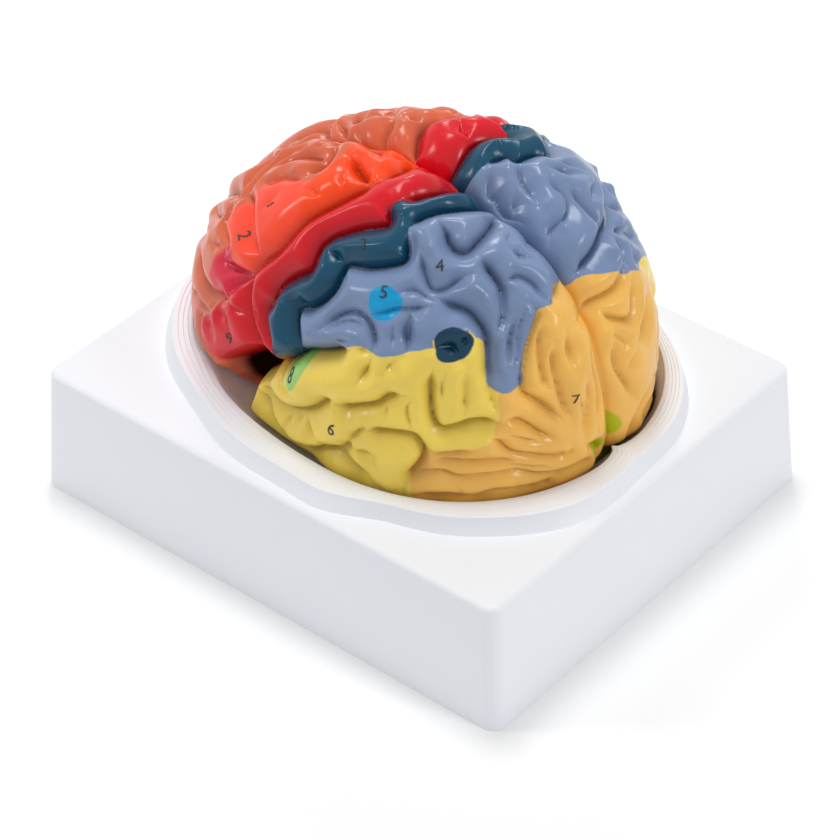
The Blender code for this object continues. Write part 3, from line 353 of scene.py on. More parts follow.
# %% Grooves of the right crown
RIGHT_TOPS = ([(11, 89), (13.5, 85), (14.5, 80), (15.5, 76), (18, 72), (20.5, 68), (14, 66), (8, 65)],
              [(-14, 88), (-14, 82), (-10, 78), (-5, 74), (-3, 68)],
              [(28.5, 74), (33, 71), (32.5, 65), (34, 60), (26, 56)])
RIGHT_FOLDS = [
    ("main", [*RIGHT_TOPS[0], CENTRAL[0]]), ("main", [*RIGHT_TOPS[1], PRECENTRAL[0]]),
    ("fold", [(0, 76), (3, 77.5), (7, 78.5), (13, 79)]), ("soft", [(-1, 72), (-1, 69.5)]),
    ("main", [(27, 80), *RIGHT_TOPS[2], POSTCENTRAL[0]]),
    ("soft", [(17, 75), (20, 73), (25, 72.5), (30, 71)]),
    ("fold", [(28, 78.5), (33, 78.5), (38, 78), (42, 76), (47, 74), (52, 71), (58, 66)]),
    ("fold", [(33, 71), (38, 71), (43, 70), (47, 68), (50, 66.5), (54, 65)]),
    ("fold", [(44, 63.5), (48, 62), (52, 59), (56, 57), (60, 56.5), (64, 57), (68, 55)]),
    ("soft", [(56, 62), (58, 61.5)]), ("fold", [(41, 63), (42, 58), (43.5, 52)]),
    ("soft", [(37, 60), (38, 55), (41, 50)]),
    ("fold", [(48, 58), (52, 55), (56, 51), (59, 47), (62.5, 41.5)]),
    ("soft", [(44, 46.5), (50, 48), (55, 49)]),
    ("main", [(40, 39), (45, 40.5), (50, 41), (56, 42), (60, 42.5), (64, 43.5), (70, 43),
              (77, 41)]), ("fold", [(63, 40), (65, 36), (67, 32), (69, 28)]),
    ("fold", [(59, 35), (57, 29), (54, 25)]), ("fold", [(50, 41), (49, 35), (47, 31)]),
    ("soft", [(62, 30), (63, 25), (62, 21)]), ("fold", [(62, 40), (59, 36), (55, 33)]),
    ("fold", [(70, 32), (76, 29), (82, 28.5), (86, 26)]),
    ("fold", [(71, 26), (75, 20), (78, 16), (80, 16), (82.5, 20), (83, 25)]),
    ("fold", [(70, 14), (73, 9), (78, 6.5), (81, 7)]),
    ("soft", [(83, 18), (84, 13), (83, 8), (85, 4)]), ("soft", [(81, 4), (83, 0), (85, -3)]),
    ("fold", [(62, 12), (63, 0), (70, -8)]),
    ("fold", [(36, 37), (41, 33), (46, 29), (50, 22), (52, 12)]),
    ("fold", [(-32, 88), (-36.5, 84), (-37, 80.5), (-32, 78.5), (-29.5, 77)]),
    ("fold", [(-29.5, 77), (-26, 76.3), (-19, 78), (-15, 80)]),
    ("main", [(-29.5, 77), (-33, 74.5), (-38, 71), (-44, 69.8), (-49, 68.3), (-52, 64.5),
              (-55, 59)]), ("fold", [(-38.5, 71), (-39.5, 67), (-38, 61)]),
    ("fine", [(-49, 68.5), (-50.5, 72), (-49, 76)]), ("fine", [(-21, 88), (-22, 83), (-22, 79)]),
    ("main", [(-62, 51), (-66, 53), (-69, 54.5), (-70, 58), (-67, 63)]),
    ("fold", [(-58, 68), (-59, 63), (-62, 57)]), ("fold", [(-22, 68), (-10, 66), (-4, 68)]),
    ("fold", [(-22, 68), (-31, 60), (-45, 56), (-56, 49), (-66, 38)]),
    ("fold", [(-62, 56), (-71, 47), (-79, 36)]), ("soft", [(-30, 60), (-31, 50)]),
    ("soft", [(-13, 66), (-14, 59)]), ("fold", [(44, 72), (55, 69)]),
]
print("grooves:", len(SIDE_FOLDS), "both,", len(LEFT_FOLDS), "left,", len(RIGHT_FOLDS), "right")

# %% Ridges that stand up between wide valleys
SIDE_RIDGES = [[(16.5, 31), (20, 30), (24, 31.5), (28, 33.5), (33, 34.6)],
               [(31, 31.5), (33, 27), (34, 23)]]
LEFT_RIDGES = [[(26, 56), (29, 53), (32, 49), (33.5, 45), (34, 42)],
               [(29, 60), (33, 57.5), (36, 57)],
               [(56.8, 41), (56.5, 33), (56, 25), (57, 16.5), (60, 14)], [(44, 50.5), (47, 48.5)],
               [(40, 39), (44, 41), (46, 45)]]
RIGHT_RIDGES = [[(45, 62), (52, 57), (60, 55), (67, 51)], [(63, 40), (66, 35), (70, 30)]]

# %% [markdown]
# ## Pressing the folds in
#
# Across a groove the surface has the outline of two plump rolls that touch: with t the distance from
# the bottom as a share of the width, the depth falls as 1 - sqrt(t (2 - t)), a quarter of a circle,
# so the bottom is a tight crease and the crest is level. A share of a softer curve, which is
# (1 - t)^2 (1 + 2 t), rounds the crease off, and a bowl has that curve alone. Where grooves meet, the
# cube root of the sum of their cubes keeps them from adding up. A few ridges stand up between wide
# valleys, and a little unevenness goes over all.

# %% Depth of the folds
FOLD_END_FADE, FOLD_END_SHARE = 0.007, 0.3
RIDGE_HEIGHT, RIDGE_WIDTH, RIDGE_SHARPNESS, RIDGE_END_SHARE = 0.0020, 0.0048, 1.6, 0.1
UNEVENNESS = 0.00012
SKIN_DEPTH = 0.0002
SEGMENTS_AT_ONCE = 8


def fold_profile(t, crease_share):
    """1 at the bottom of a groove and 0 from its crest on."""
    t = np.clip(t, 0, 1)
    crease = 1 - np.sqrt(t * (2 - t))
    bowl = (1 - t) ** 2 * (1 + 2 * t)
    return crease_share * crease + (1 - crease_share) * bowl


def distance_to(curve, points, within):
    """(distance, length along) of each point to a line through the curve's points, and the line's
    length. Short stretches of the line look only at the points near them."""
    spans = np.diff(curve, axis=0)
    lengths = np.linalg.norm(spans, axis=1)
    before = np.concatenate([[0], np.cumsum(lengths)])
    best, along = np.full(len(points), np.inf), np.zeros(len(points))
    for first in range(0, len(spans), SEGMENTS_AT_ONCE):
        part = slice(first, first + SEGMENTS_AT_ONCE)
        ends = curve[first : first + SEGMENTS_AT_ONCE + 1]
        low, high = ends.min(0) - within, ends.max(0) + within
        near = np.flatnonzero(((points > low) & (points < high)).all(1))
        if len(near) == 0:
            continue
        away = points[near][:, None, :] - curve[:-1][part]
        t = np.clip((away * spans[part]).sum(-1) / (lengths[part] ** 2 + TINY**2), 0, 1)
        gaps = np.linalg.norm(away - t[..., None] * spans[part], axis=-1)
        nearest = gaps.argmin(1)
        rows = np.arange(len(near))
        gap = gaps[rows, nearest]
        closer = gap < best[near]
        where = near[closer]
        best[where] = gap[closer]
        passed = before[:-1][part][nearest] + t[rows, nearest] * lengths[part][nearest]
        along[where] = passed[closer]
    return best, along, before[-1]


def fold_depth(points, folds, side):
    """How far the folds press the surface in at each point."""
    cubes = np.zeros(len(points))
    for kind, places in folds:
        depth, width, crease_share, _ = FOLD_KINDS[kind]
        curve = smooth_points(*curve_through(set_back(places, kind, side)).T, side)
        gap, along, length = distance_to(curve, points, width)
        near = gap < width
        from_end = np.minimum(along[near], length - along[near]) / FOLD_END_FADE
        fade = FOLD_END_SHARE + (1 - FOLD_END_SHARE) * ease(from_end)
        cubes[near] += (depth * fade * fold_profile(gap[near] / width, crease_share)) ** 3
    return np.cbrt(cubes)


def ridge_height(points, ridges, side):
    """How far the ridges stand up at each point: a crest with flanks that run out."""
    height = np.zeros(len(points))
    for places in ridges:
        curve = smooth_points(*curve_through(places).T, side)
        gap, along, length = distance_to(curve, points, RIDGE_WIDTH)
        near = gap < RIDGE_WIDTH
        from_end = np.minimum(along[near], length - along[near]) / FOLD_END_FADE
        flank = (1 - gap[near] / RIDGE_WIDTH) ** RIDGE_SHARPNESS
        ridge = RIDGE_HEIGHT * ease(from_end + RIDGE_END_SHARE) * flank
        height[near] = np.maximum(height[near], ridge)
    return height


def hand_unevenness(points):
    """Up to a quarter of a millimetre of slow waves, as a form sculpted by hand has. The numbers are
    lengths of waves in millimetres that have no common measure, so that no pattern repeats."""
    x, y, z = (points * 1000).T
    waves = np.sin(x / 4.1 + 1.3 * np.sin(y / 5.7)) * np.sin(y / 3.7 + z / 6.1)
    return UNEVENNESS * (waves + np.sin(z / 3.1 + x / 7.3) * np.sin(y / 4.9 - x / 5.3))


def brain_points(back, up, side):
    """(points, fold depth) of the finished surface of one half at these places of the map."""
    smooth = smooth_points(back, up, side)
    folds, ridges = (LEFT_FOLDS, LEFT_RIDGES) if side == LEFT else (RIGHT_FOLDS, RIGHT_RIDGES)
    depth = fold_depth(smooth, SIDE_FOLDS + folds, side)
    depth = depth - ridge_height(smooth, SIDE_RIDGES + ridges, side)
    pressed = (depth - hand_unevenness(smooth) + SKIN_DEPTH)[:, None]
    points = smooth - map_direction(back, up, side) * pressed
    points[:, 1] += side * MID_GAP / 2
    return points, depth


# %% [markdown]
# ## Mesh of one half
#
# A square grid is bent onto the round map with u = x sqrt(1 - y^2 / 2), v = y sqrt(1 - x^2 / 2),
# which has no pole. Its rows are closer together where the surface shows above the base. The rim of
# the grid lies in the mid plane, and rings that shrink from it close the flat mid face, with the
# grooves round the bridge of fibres pressed in.

# %% Grid, mid face and mesh
COLUMNS, ROWS_BELOW, ROWS_ABOVE, LOWEST_SHOWN = 310, 36, 250, -0.34
MID_RINGS = 8
MID_FOLDS = [
    [(-0.030, -0.012), (-0.040, 0.000), (-0.034, 0.016), (-0.010, 0.026), (0.018, 0.024),
     (0.036, 0.010), (0.038, -0.004)],
    [(-0.052, -0.010), (-0.062, 0.008), (-0.048, 0.030), (-0.014, 0.042), (0.022, 0.040),
     (0.040, 0.050)], [(0.038, -0.004), (0.050, 0.012), (0.056, 0.034)],
    [(0.038, -0.004), (0.056, -0.006), (0.068, -0.010)],
]
MID_FOLD_DEPTH, MID_FOLD_WIDTH, MID_FOLD_STEP = 0.0022, 0.0040, 0.003


def map_grid():
    """(back, up, rows, columns): the places of the grid on the map."""
    below = np.linspace(-1, LOWEST_SHOWN, ROWS_BELOW, endpoint=False)
    rows = np.concatenate([below, np.linspace(LOWEST_SHOWN, 1, ROWS_ABOVE)])
    across, along = np.meshgrid(np.linspace(-1, 1, COLUMNS), rows)
    back = MAP_RIM * across * np.sqrt(1 - along**2 / 2)
    up = MAP_RIM * along * np.sqrt(1 - across**2 / 2)
    return back.ravel(), up.ravel(), len(rows), COLUMNS


def mid_groove(points):
    """Depth of the grooves in the mid face."""
    depth = np.zeros(len(points))
    flat = points * [1, 0, 1] + [0, MID_PLANE_Y, 0]
    for fold in MID_FOLDS:
        line = curve_through(fold, MID_FOLD_STEP)
        curve = MAP_CENTRE + np.stack([line[:, 0], np.zeros(len(line)), line[:, 1]], 1)
        gap = distance_to(curve, flat, MID_FOLD_WIDTH)[0]
        depth = np.maximum(depth, MID_FOLD_DEPTH * fold_profile(gap / MID_FOLD_WIDTH, CREASE))
    return depth


def ring_faces(rings, closed=True):
    """Four-cornered faces between rows of point numbers, each row as long as the next."""
    rings = np.array(rings)
    ahead = np.roll(rings, -1, axis=1) if closed else rings[:, 1:]
    here = rings if closed else rings[:, :-1]
    faces = np.stack([here[:-1], here[1:], ahead[1:], ahead[:-1]], -1)
    return faces.reshape(-1, 4)


def facing_out(points, faces):
    """The four-cornered faces, all turned round if the volume they enclose comes out negative."""
    volume = 0
    for corners in (points[faces[:, [0, 1, 2]]], points[faces[:, [0, 2, 3]]]):
        normals = np.cross(corners[:, 1], corners[:, 2])
        volume += np.einsum("ij,ij->i", corners[:, 0], normals).sum()
    return faces if volume > 0 else faces[:, ::-1]


def mesh_from(name, points, faces):
    """A smooth-shaded mesh from arrays. A face that names one corner twice is a triangle."""
    faces = facing_out(points, faces)
    mesh = bpy.data.meshes.new(name)
    lists = [[c for k, c in enumerate(face) if c != face[k - 1]] for face in faces.tolist()]
    mesh.from_pydata(points.tolist(), [], lists)
    mesh.polygons.foreach_set("use_smooth", [True] * len(mesh.polygons))
    mesh.update()
    return mesh


def half_surface(side):
    """(points, faces, back, up, depth) of one closed hemisphere."""
    back, up, rows, columns = map_grid()
    points, depth = brain_points(back, up, side)
    grid = np.arange(rows * columns).reshape(rows, columns)
    rim = np.concatenate([grid[0, :-1], grid[:-1, -1], grid[-1, :0:-1], grid[:0:-1, 0]])
    faces = [ring_faces(grid, closed=False)]
    rings, layers = [rim], [points]
    for k in range(1, MID_RINGS + 1):
        share = 1 - k / (MID_RINGS + 1)
        ring = MAP_CENTRE + (points[rim] - MAP_CENTRE) * share
        ring[:, 1] = MID_PLANE_Y + side * (MID_GAP / 2 + mid_groove(ring))
        rings.append(len(back) + (k - 1) * len(rim) + np.arange(len(rim)))
        layers.append(ring)
    centre = MAP_CENTRE + [0, side * MID_GAP / 2, 0]
    last = len(back) + MID_RINGS * len(rim)
    rings.append(np.full(len(rim), last))
    faces.append(ring_faces(rings))
    extra = last + 1 - len(back)
    back, up, depth = (np.concatenate([a, np.resize(a[rim], extra)]) for a in (back, up, depth))
    return np.vstack([*layers, centre[None]]), np.vstack(faces), back, up, depth


# %% [markdown]
# ## Paint regions
#
# A region is a closed outline on the map, made of the same curves as the grooves that bound it. For
# each point of the mesh the script stores how many degrees it lies inside the outline, and outside
# counts negative. The material turns the value 0 into the border, so the border is as crisp as the
# distance is smooth, and much finer than a colour stored at each point. Where two regions meet, the
# lower one runs on a little under the one laid over it, so that no ground shows between them.

# %% Outlines of the left half
def spot(place, radius):
    """A round outline that a brush leaves: a circle with a few slow bulges."""
    a = np.radians(np.arange(0, 360, 12))
    r = radius * (1 + 0.05 * np.sin(3 * a + 1) + 0.03 * np.sin(5 * a))
    return np.stack([place[0] + r * np.cos(a), place[1] + r * np.sin(a)], 1)


def outline(*lines):
    """One closed outline from lines that follow one another."""
    return np.vstack([curve_through(line) for line in lines])


SYLVIAN_SEAM = set_back(SYLVIAN, "deep", LEFT)
BELOW_ALL = [(32, -40), (28, -95), (-30, -90), (-46, -60), (-39, -30)]
YELLOW_TOP = [*SYLVIAN_SEAM[8:12], (15, 17), (20, 17.3), (22, 16.7), (28, 18), (33, 20.5),
              (38, 22.5), (43.5, 24), (48.5, 26), (51, 25.5), (52.5, 23), (53.5, 17), (53.7, 10.3)]
YELLOW_BACK = [(56.5, 9), (56.5, 0), (55, -4), (54.5, -6.5), (51, -7.5), (46, -9), (38, -10),
               (36, -13), (33, -16), (32, -18)]
ORANGE_FRONT = set_back([(62.3, 10), (62.3, 18), (63, 25), (64.7, 31), (65, 34.5)], "fold", LEFT)
LOW_RED_FRONT = [(-31, 19.5), (-34, 18), (-38, 15.5), (-39, 10), (-38.5, 6.5), (-43, 5), (-46, 1),
                 (-47.5, -4), (-50, -8), (-52.5, -12), (-50.5, -17), (-44.5, -19.2)]
LOW_RED_BACK = [(-37, -18), (-32, -14.5), (-27, -9.5), (-20, -4)]
TEMPORAL_TIP = [(-33, -20), (-31, -16), (-29, -12), (-25.5, -7.5), (-20, -4)]
FRONTAL_BACK = [(-14, 45), (-17, 36), (-22, 28), (-26, 20), (-24, 12), (-19, 0)]
FRONTAL_FOOT = [(-20, -4), (-25, -7.5), (-29, -12), (-31, -20), (-35, -31)]
ROUND_THE_FRONT = [(-40, -60), (-30, -95), (-80, -70), (-110, 0), (-80, 80), (-20, 110)]


def main_seams(side, starts, tops):
    """The central, precentral and postcentral seams of one half, from the fissure down."""
    return [set_back([*start, *top, *low], "main", side)
            for start, top, low in zip(starts, tops, (CENTRAL, PRECENTRAL, POSTCENTRAL))]


def shared_regions(central, precentral, postcentral, frontal_top):
    """The regions that both halves build alike from their main seams: the two strips beside the
    central groove, and the frontal lobe."""
    return {
        "teal": outline(central, SYLVIAN_SEAM[6:9], postcentral[::-1]),
        "red": outline(precentral[:-3], LOW_RED_FRONT, LOW_RED_BACK, SYLVIAN_SEAM[4:7],
                       central[::-1]),
        "brown_orange": outline(precentral[:8], FRONTAL_BACK, FRONTAL_FOOT,
                                [*ROUND_THE_FRONT, frontal_top]),
    }


LEFT_SEAMS = main_seams(LEFT, ([(28, 92)], [(-3, 93), (-1, 84)], [(46, 83)]), LEFT_TOPS)
LEFT_REGIONS = shared_regions(*LEFT_SEAMS, (-3, 93))
LEFT_REGIONS |= {
    "orange_yellow": outline([(54, 9.3), (58, 9), (62.3, 9.5)],
                             [*ORANGE_FRONT, (70, 35), (70.5, 37)],
                             [(77, 42), (95, 50), (100, 0), (80, -60), (30, -95), (20, -60),
                              (30, -20)], YELLOW_BACK[::-1]),
    "yellow": outline(YELLOW_TOP, YELLOW_BACK, BELOW_ALL, TEMPORAL_TIP, SYLVIAN_SEAM[4:9]),
    "bright_orange": outline([(-3, 93), *LEFT_SEAMS[1][1:-6]],
                             [(-26.5, 29), (-30, 38), (-31, 46)],
                             [(-31, 46), (-32, 54), (-30, 60), (-30, 68), (-34, 76), (-40, 90)]),
    "salmon": outline([(-27, 27), (-29, 25.5), (-31, 22), (-31, 19.5), (-37, 16.5), (-42, 14.8),
                       (-46, 14.6)],
                      [(-48, 18), (-53, 17.5), (-57, 20), (-58, 25), (-57, 30), (-54, 37),
                       (-51, 43), (-44, 49)],
                      [(-37, 52), (-31, 53), (-29, 46), (-28, 38)]),
    "crimson": outline([(-37, 15.5), (-42, 14.6), (-46, 14.8), (-47, 17), (-50, 17.5), (-52, 15),
                        (-54, 9)],
                       [(-53, 4), (-50, 1), (-46, 2), (-43, 5), (-38.5, 6.5), (-38.5, 11)]),
    "light_green": outline([(-2, 7), (-5.5, 5), (-9.5, 1), (-11.5, -3), (-10.5, -6), (-8, -7),
                            (-5.5, -6), (-3.5, -1), (-1.5, 7)]),
    "cyan": spot((21.5, 32.5), 5.4),
    "dark_teal": spot((43.5, 24.0), 5.3),
    "yellow_green": outline([(78.3, -27), (78.6, -24), (79.8, -22.3), (82, -23), (83, -28),
                             (80, -31)]),
}

# %% Outlines of the right half
RIGHT_BACK = [(86, 38), (81, 38.5), (77, 38.5), (74, 34), (70.5, 29), (70, 26.5), (68, 25),
              (64, 20.5)]
RIGHT_YELLOW_TOP = [(-2.5, 8), (0, 9.5), (5, 11.2), (10, 13), (20, 13.5), (33, 12), (43, 9),
                    (50, 9), (53, 13), (56, 17.5), (59, 19.7), (63, 20)]
RIGHT_SEAMS = main_seams(RIGHT, ([(10, 94)], [(-14, 94)], [(27, 92), (27, 79)]), RIGHT_TOPS)
RIGHT_REGIONS = shared_regions(*RIGHT_SEAMS, (-14, 94))
RIGHT_REGIONS |= {
    "orange_yellow": outline(RIGHT_BACK,
                             [(60, 12), (52, 8), (50, 0), (42, -5), (32, -10), (27, -40)],
                             [(30, -95), (90, -60), (105, 0), (98, 36)]),
    "yellow": outline(RIGHT_YELLOW_TOP, [(62.5, 17), (60, 12), (57, 6)], YELLOW_BACK[1:], BELOW_ALL,
                      TEMPORAL_TIP, SYLVIAN_SEAM[4:9]),
    "salmon": LEFT_REGIONS["salmon"],
    "crimson": LEFT_REGIONS["crimson"],
    "yellow_green": outline([(83, -25), (85, -21.5), (88, -19.5), (92, -22), (90, -33), (85, -33)]),
}
print("regions:", len(LEFT_REGIONS), "left,", len(RIGHT_REGIONS), "right")

# %% Where a place lies in a region
FARTHEST_OUTSIDE, PLACES_AT_ONCE, LEAST_SPAN = 3.0, 6000, 1e-12


def degrees_inside(places, region):
    """How far each place of the map lies inside a closed outline, in degrees, and less than 0
    outside it. A place is inside when a ray from it crosses the outline an odd number of times."""
    start, end = region, np.roll(region, -1, axis=0)
    span = end - start
    low, high = region.min(0) - FARTHEST_OUTSIDE, region.max(0) + FARTHEST_OUTSIDE
    near = np.flatnonzero(((places > low) & (places < high)).all(1))
    result = np.full(len(places), -FARTHEST_OUTSIDE)
    for rows in np.array_split(near, max(1, len(near) // PLACES_AT_ONCE)):
        away = places[rows][:, None, :] - start
        t = np.clip((away * span).sum(-1) / ((span**2).sum(-1) + LEAST_SPAN), 0, 1)
        gap = np.linalg.norm(away - t[..., None] * span, axis=-1).min(1)
        x, y = places[rows, 0][:, None], places[rows, 1][:, None]
        straddles = (start[:, 1] > y) != (end[:, 1] > y)
        crossing = start[:, 0] + (y - start[:, 1]) * span[:, 0] / (span[:, 1] + LEAST_SPAN)
        odd = (straddles & (x < crossing)).sum(1) % 2 == 1
        result[rows] = np.where(odd, gap, -gap)
    return result


# %% [markdown]
# ## Small helpers for the materials
#
# Colours are written as they would be picked from a screen and turned into linear light. Effects
# that several materials share are node groups: one layer of paint, the painter's patches with
# painted shade in the creases, and the skin of moulded plastic.

# %% Node helpers
def from_screen(red, green, blue):
    """A colour of 0 to 255 per channel as linear light."""
    values = np.array([red, green, blue]) / 255
    linear = np.where(values <= 0.04045, values / 12.92, ((values + 0.055) / 1.055) ** 2.4)
    return (*linear.tolist(), 1.0)


def new_group(name, inputs, outputs):
    """(group, input node, output node) with sockets given as {name: (type, default)}."""
    group = bpy.data.node_groups.new(name, "ShaderNodeTree")
    for label, (kind, value) in inputs.items():
        socket = group.interface.new_socket(label, in_out="INPUT", socket_type=kind)
        socket.default_value = value
    for label, kind in outputs.items():
        group.interface.new_socket(label, in_out="OUTPUT", socket_type=kind)
    return group, group.nodes.new("NodeGroupInput"), group.nodes.new("NodeGroupOutput")


def feed(tree, sockets, links):
    """Gives input sockets, by name or number, a value each or the output of another node."""
    for key, value in links.items():
        if isinstance(value, bpy.types.NodeSocket):
            tree.links.new(value, sockets[key])
        else:
            sockets[key].default_value = value


def add_node(tree, kind, links=None, **settings):
    """A node with its settings, and with its inputs fed."""
    node = tree.nodes.new(kind)
    for key, value in settings.items():
        setattr(node, key, value)
    feed(tree, node.inputs, links or {})
    return node


def use_group(tree, group, links):
    """The outputs of a node that stands for a group."""
    return add_node(tree, "ShaderNodeGroup", links, node_tree=group).outputs


def mixed(tree, factor, below, above):
    """The colour output of a mix of two colours. Among the inputs of the node, numbers 6 and 7 are
    the colours, and among its outputs number 2."""
    links = {0: factor, 6: below, 7: above}
    return add_node(tree, "ShaderNodeMix", links, data_type="RGBA").outputs[2]


def number(tree, operation, *values):
    """The output of a math node."""
    return add_node(tree, "ShaderNodeMath", dict(enumerate(values)), operation=operation).outputs[0]


def object_place(tree):
    """Where a point lies on its own object."""
    return add_node(tree, "ShaderNodeTexCoord").outputs["Object"]


def noise(tree, place, scale, detail=2.0):
    """The output of a noise texture."""
    links = {"Vector": place, "Scale": scale, "Detail": detail}
    return add_node(tree, "ShaderNodeTexNoise", links).outputs["Fac"]


def smooth_step(tree, value, start, end, low=0.0, high=1.0):
    """A smooth change from low to high while the value goes from start to end."""
    links = {"Value": value, "From Min": start, "From Max": end, "To Min": low, "To Max": high}
    return add_node(tree, "ShaderNodeMapRange", links, interpolation_type="SMOOTHSTEP").outputs[0]


def bump(tree, height, strength, distance):
    """The normal of a surface with this height as its relief."""
    links = {"Height": height, "Strength": strength, "Distance": distance}
    return add_node(tree, "ShaderNodeBump", links).outputs["Normal"]


# %% [markdown]
# ## Paint laid on by hand
#
# On the real model each colour is brushed or sprayed on through a mask, so its border wanders a
# little, and the coat is thicker in some places than in others. One group of nodes lays a coat, and
# another adds slow patches, painted shade that darkens the creases, and a near-black painted shade
# in the deepest ones, which also lose their gloss. As groups they are written once and used by every
# paint.

# %% One layer of paint, and the painter's patches with painted crease shade
WHITE = (1.0, 1.0, 1.0, 1.0)
BORDER_NOISE_SCALE, BORDER_WANDER = 260.0, 0.4
PATCH_NOISE, GRAIN_NOISE = (55.0, 3.0), (900.0, 2.0)
PATCH_TONE = (0.30, 0.85)
# Painted shade in the creases: the colour darkens as a crease deepens from 2 to 7 mm, and turns near
# black from 6.5 to 11 mm.
CREASE_PAINTED_SHADE, DEEP_PAINTED_SHADE_FROM_TO = (2.0, 7.0, 1.0, 0.62), (6.5, 11.0)
VINYL_GLOSS, VINYL_ROUGHNESS, VINYL_RELIEF = 0.30, (0.14, 0.15), (0.25, 0.0004)


def paint_layer_group():
    """One coat: lies over the colour below wherever the point is inside its outline. Slow noise
    moves the border by a fraction of a degree, as a brush does."""
    group, given, made = new_group(
        "one layer of paint",
        {"Below": ("NodeSocketColor", WHITE), "Paint": ("NodeSocketColor", WHITE),
         "Degrees inside": ("NodeSocketFloat", 0.0), "Border": ("NodeSocketFloat", 0.3)},
        {"Colour": "NodeSocketColor"},
    )
    given = given.outputs
    waves = noise(group, object_place(group), BORDER_NOISE_SCALE)
    wander = number(group, "MULTIPLY_ADD", waves, 2 * BORDER_WANDER, -BORDER_WANDER)
    inside = number(group, "ADD", given["Degrees inside"], wander)
    outer = number(group, "MULTIPLY", given["Border"], -1.0)
    share = smooth_step(group, inside, outer, given["Border"])
    feed(group, made.inputs, {"Colour": mixed(group, share, given["Below"], given["Paint"])})
    return group


def painters_patches_and_crease_shade_group():
    """Thin and thick paint: the colour shifts a little in slow patches, and the roughness changes
    with the patches. Painted shade darkens the creases, and the deepest get a near-black painted
    shade and no gloss."""
    group, given, made = new_group(
        "painter's patches and painted crease shade",
        {"Colour": ("NodeSocketColor", WHITE), "Crease depth": ("NodeSocketFloat", 0.0)},
        {"Colour": "NodeSocketColor", "Roughness": "NodeSocketFloat", "Gloss": "NodeSocketFloat",
         "Height": "NodeSocketFloat"},
    )
    colour, depth = given.outputs["Colour"], given.outputs["Crease depth"]
    place = object_place(group)
    slow, fine = noise(group, place, *PATCH_NOISE), noise(group, place, *GRAIN_NOISE)
    patches = number(group, "MULTIPLY_ADD", slow, *PATCH_TONE)
    # Painted shade: the patch tone is darkened down to 0.62 as the crease deepens.
    tone_and_crease_shade = number(group, "MULTIPLY", patches, smooth_step(group, depth, *CREASE_PAINTED_SHADE))
    shaded = add_node(group, "ShaderNodeHueSaturation", {"Value": tone_and_crease_shade, "Color": colour})
    # Painted shade: near-black colour and no gloss in the deepest creases, from 6.5 to 11 mm deep.
    deep_painted_shade = smooth_step(group, depth, *DEEP_PAINTED_SHADE_FROM_TO)
    feed(group, made.inputs, {
        "Colour": mixed(group, deep_painted_shade, shaded.outputs["Color"], from_screen(26, 9, 4)),
        "Roughness": number(group, "MULTIPLY_ADD", slow, *VINYL_ROUGHNESS),
        "Gloss": number(group, "MULTIPLY_ADD", deep_painted_shade, -VINYL_GLOSS, VINYL_GLOSS),
        "Height": number(group, "MULTIPLY_ADD", fine, 0.15, slow),
    })
    return group


PAINT_LAYER, PAINTERS_PATCHES_AND_CREASE_SHADE = paint_layer_group(), painters_patches_and_crease_shade_group()


def new_material(name):
    """(material, its nodes, the inputs of its Principled shader)."""
    material = bpy.data.materials.new(name)
    material.use_nodes = True
    return material, material.node_tree, material.node_tree.nodes["Principled BSDF"].inputs


def painted_material(name, colour_of, crease_of, relief):
    """Vinyl with the paint's slow patches and painted shade in its creases. Both functions are given
    the nodes of the material and make its colour and the depth of its creases."""
    material, tree, shader = new_material(name)
    links = {"Colour": colour_of(tree), "Crease depth": crease_of(tree)}
    hand = use_group(tree, PAINTERS_PATCHES_AND_CREASE_SHADE, links)
    feed(tree, shader, {"Base Color": hand["Colour"], "Roughness": hand["Roughness"],
                        "Specular IOR Level": hand["Gloss"]})
    if relief:
        feed(tree, shader, {"Normal": bump(tree, hand["Height"], *VINYL_RELIEF)})
    return material


# %% [markdown]
# ## The painted vinyl
#
# The blue-grey of the parietal lobe is the ground. Each further colour is one layer over the one
# before, in the order in which the regions are laid on: first the lobes, then the patches within the
# frontal lobe, then the strips on either side of the central groove, and last the small spots. One
# material does it all, because a layer over a layer leaves no gap where two colours meet.

# %% Paint of the brain
GROUND = from_screen(119, 139, 175)
PAINTS = {  # colour, and how far the border blurs to either side in degrees
    "orange_yellow": (from_screen(241, 186, 90), 0.25),
    "yellow": (from_screen(240, 210, 92), 0.25),
    "brown_orange": (from_screen(212, 98, 62), 0.8),
    "bright_orange": (from_screen(250, 72, 12), 1.4),
    "salmon": (from_screen(252, 77, 48), 1.6),
    "crimson": (from_screen(212, 26, 58), 0.9),
    "red": (from_screen(214, 12, 30), 0.35),
    "teal": (from_screen(0, 72, 100), 0.25),
    "light_green": (from_screen(150, 200, 100), 0.5),
    "cyan": (from_screen(0, 150, 204), 0.3),
    "dark_teal": (from_screen(0, 56, 80), 0.3),
    "yellow_green": (from_screen(180, 186, 8), 0.4),
}


def stored_value(tree, name):
    """The number that the mesh stores for a point under this name."""
    return add_node(tree, "ShaderNodeAttribute", attribute_name=name).outputs["Fac"]


def all_layers(tree):
    """The colour of all paints, laid one over the other."""
    colour = GROUND
    for layer, (paint, border) in PAINTS.items():
        links = {"Below": colour, "Paint": paint, "Border": border,
                 "Degrees inside": stored_value(tree, layer)}
        colour = use_group(tree, PAINT_LAYER, links)["Colour"]
    return colour


VINYL = painted_material("painted_vinyl", all_layers,
                         lambda tree: stored_value(tree, "crease_depth"), relief=True)


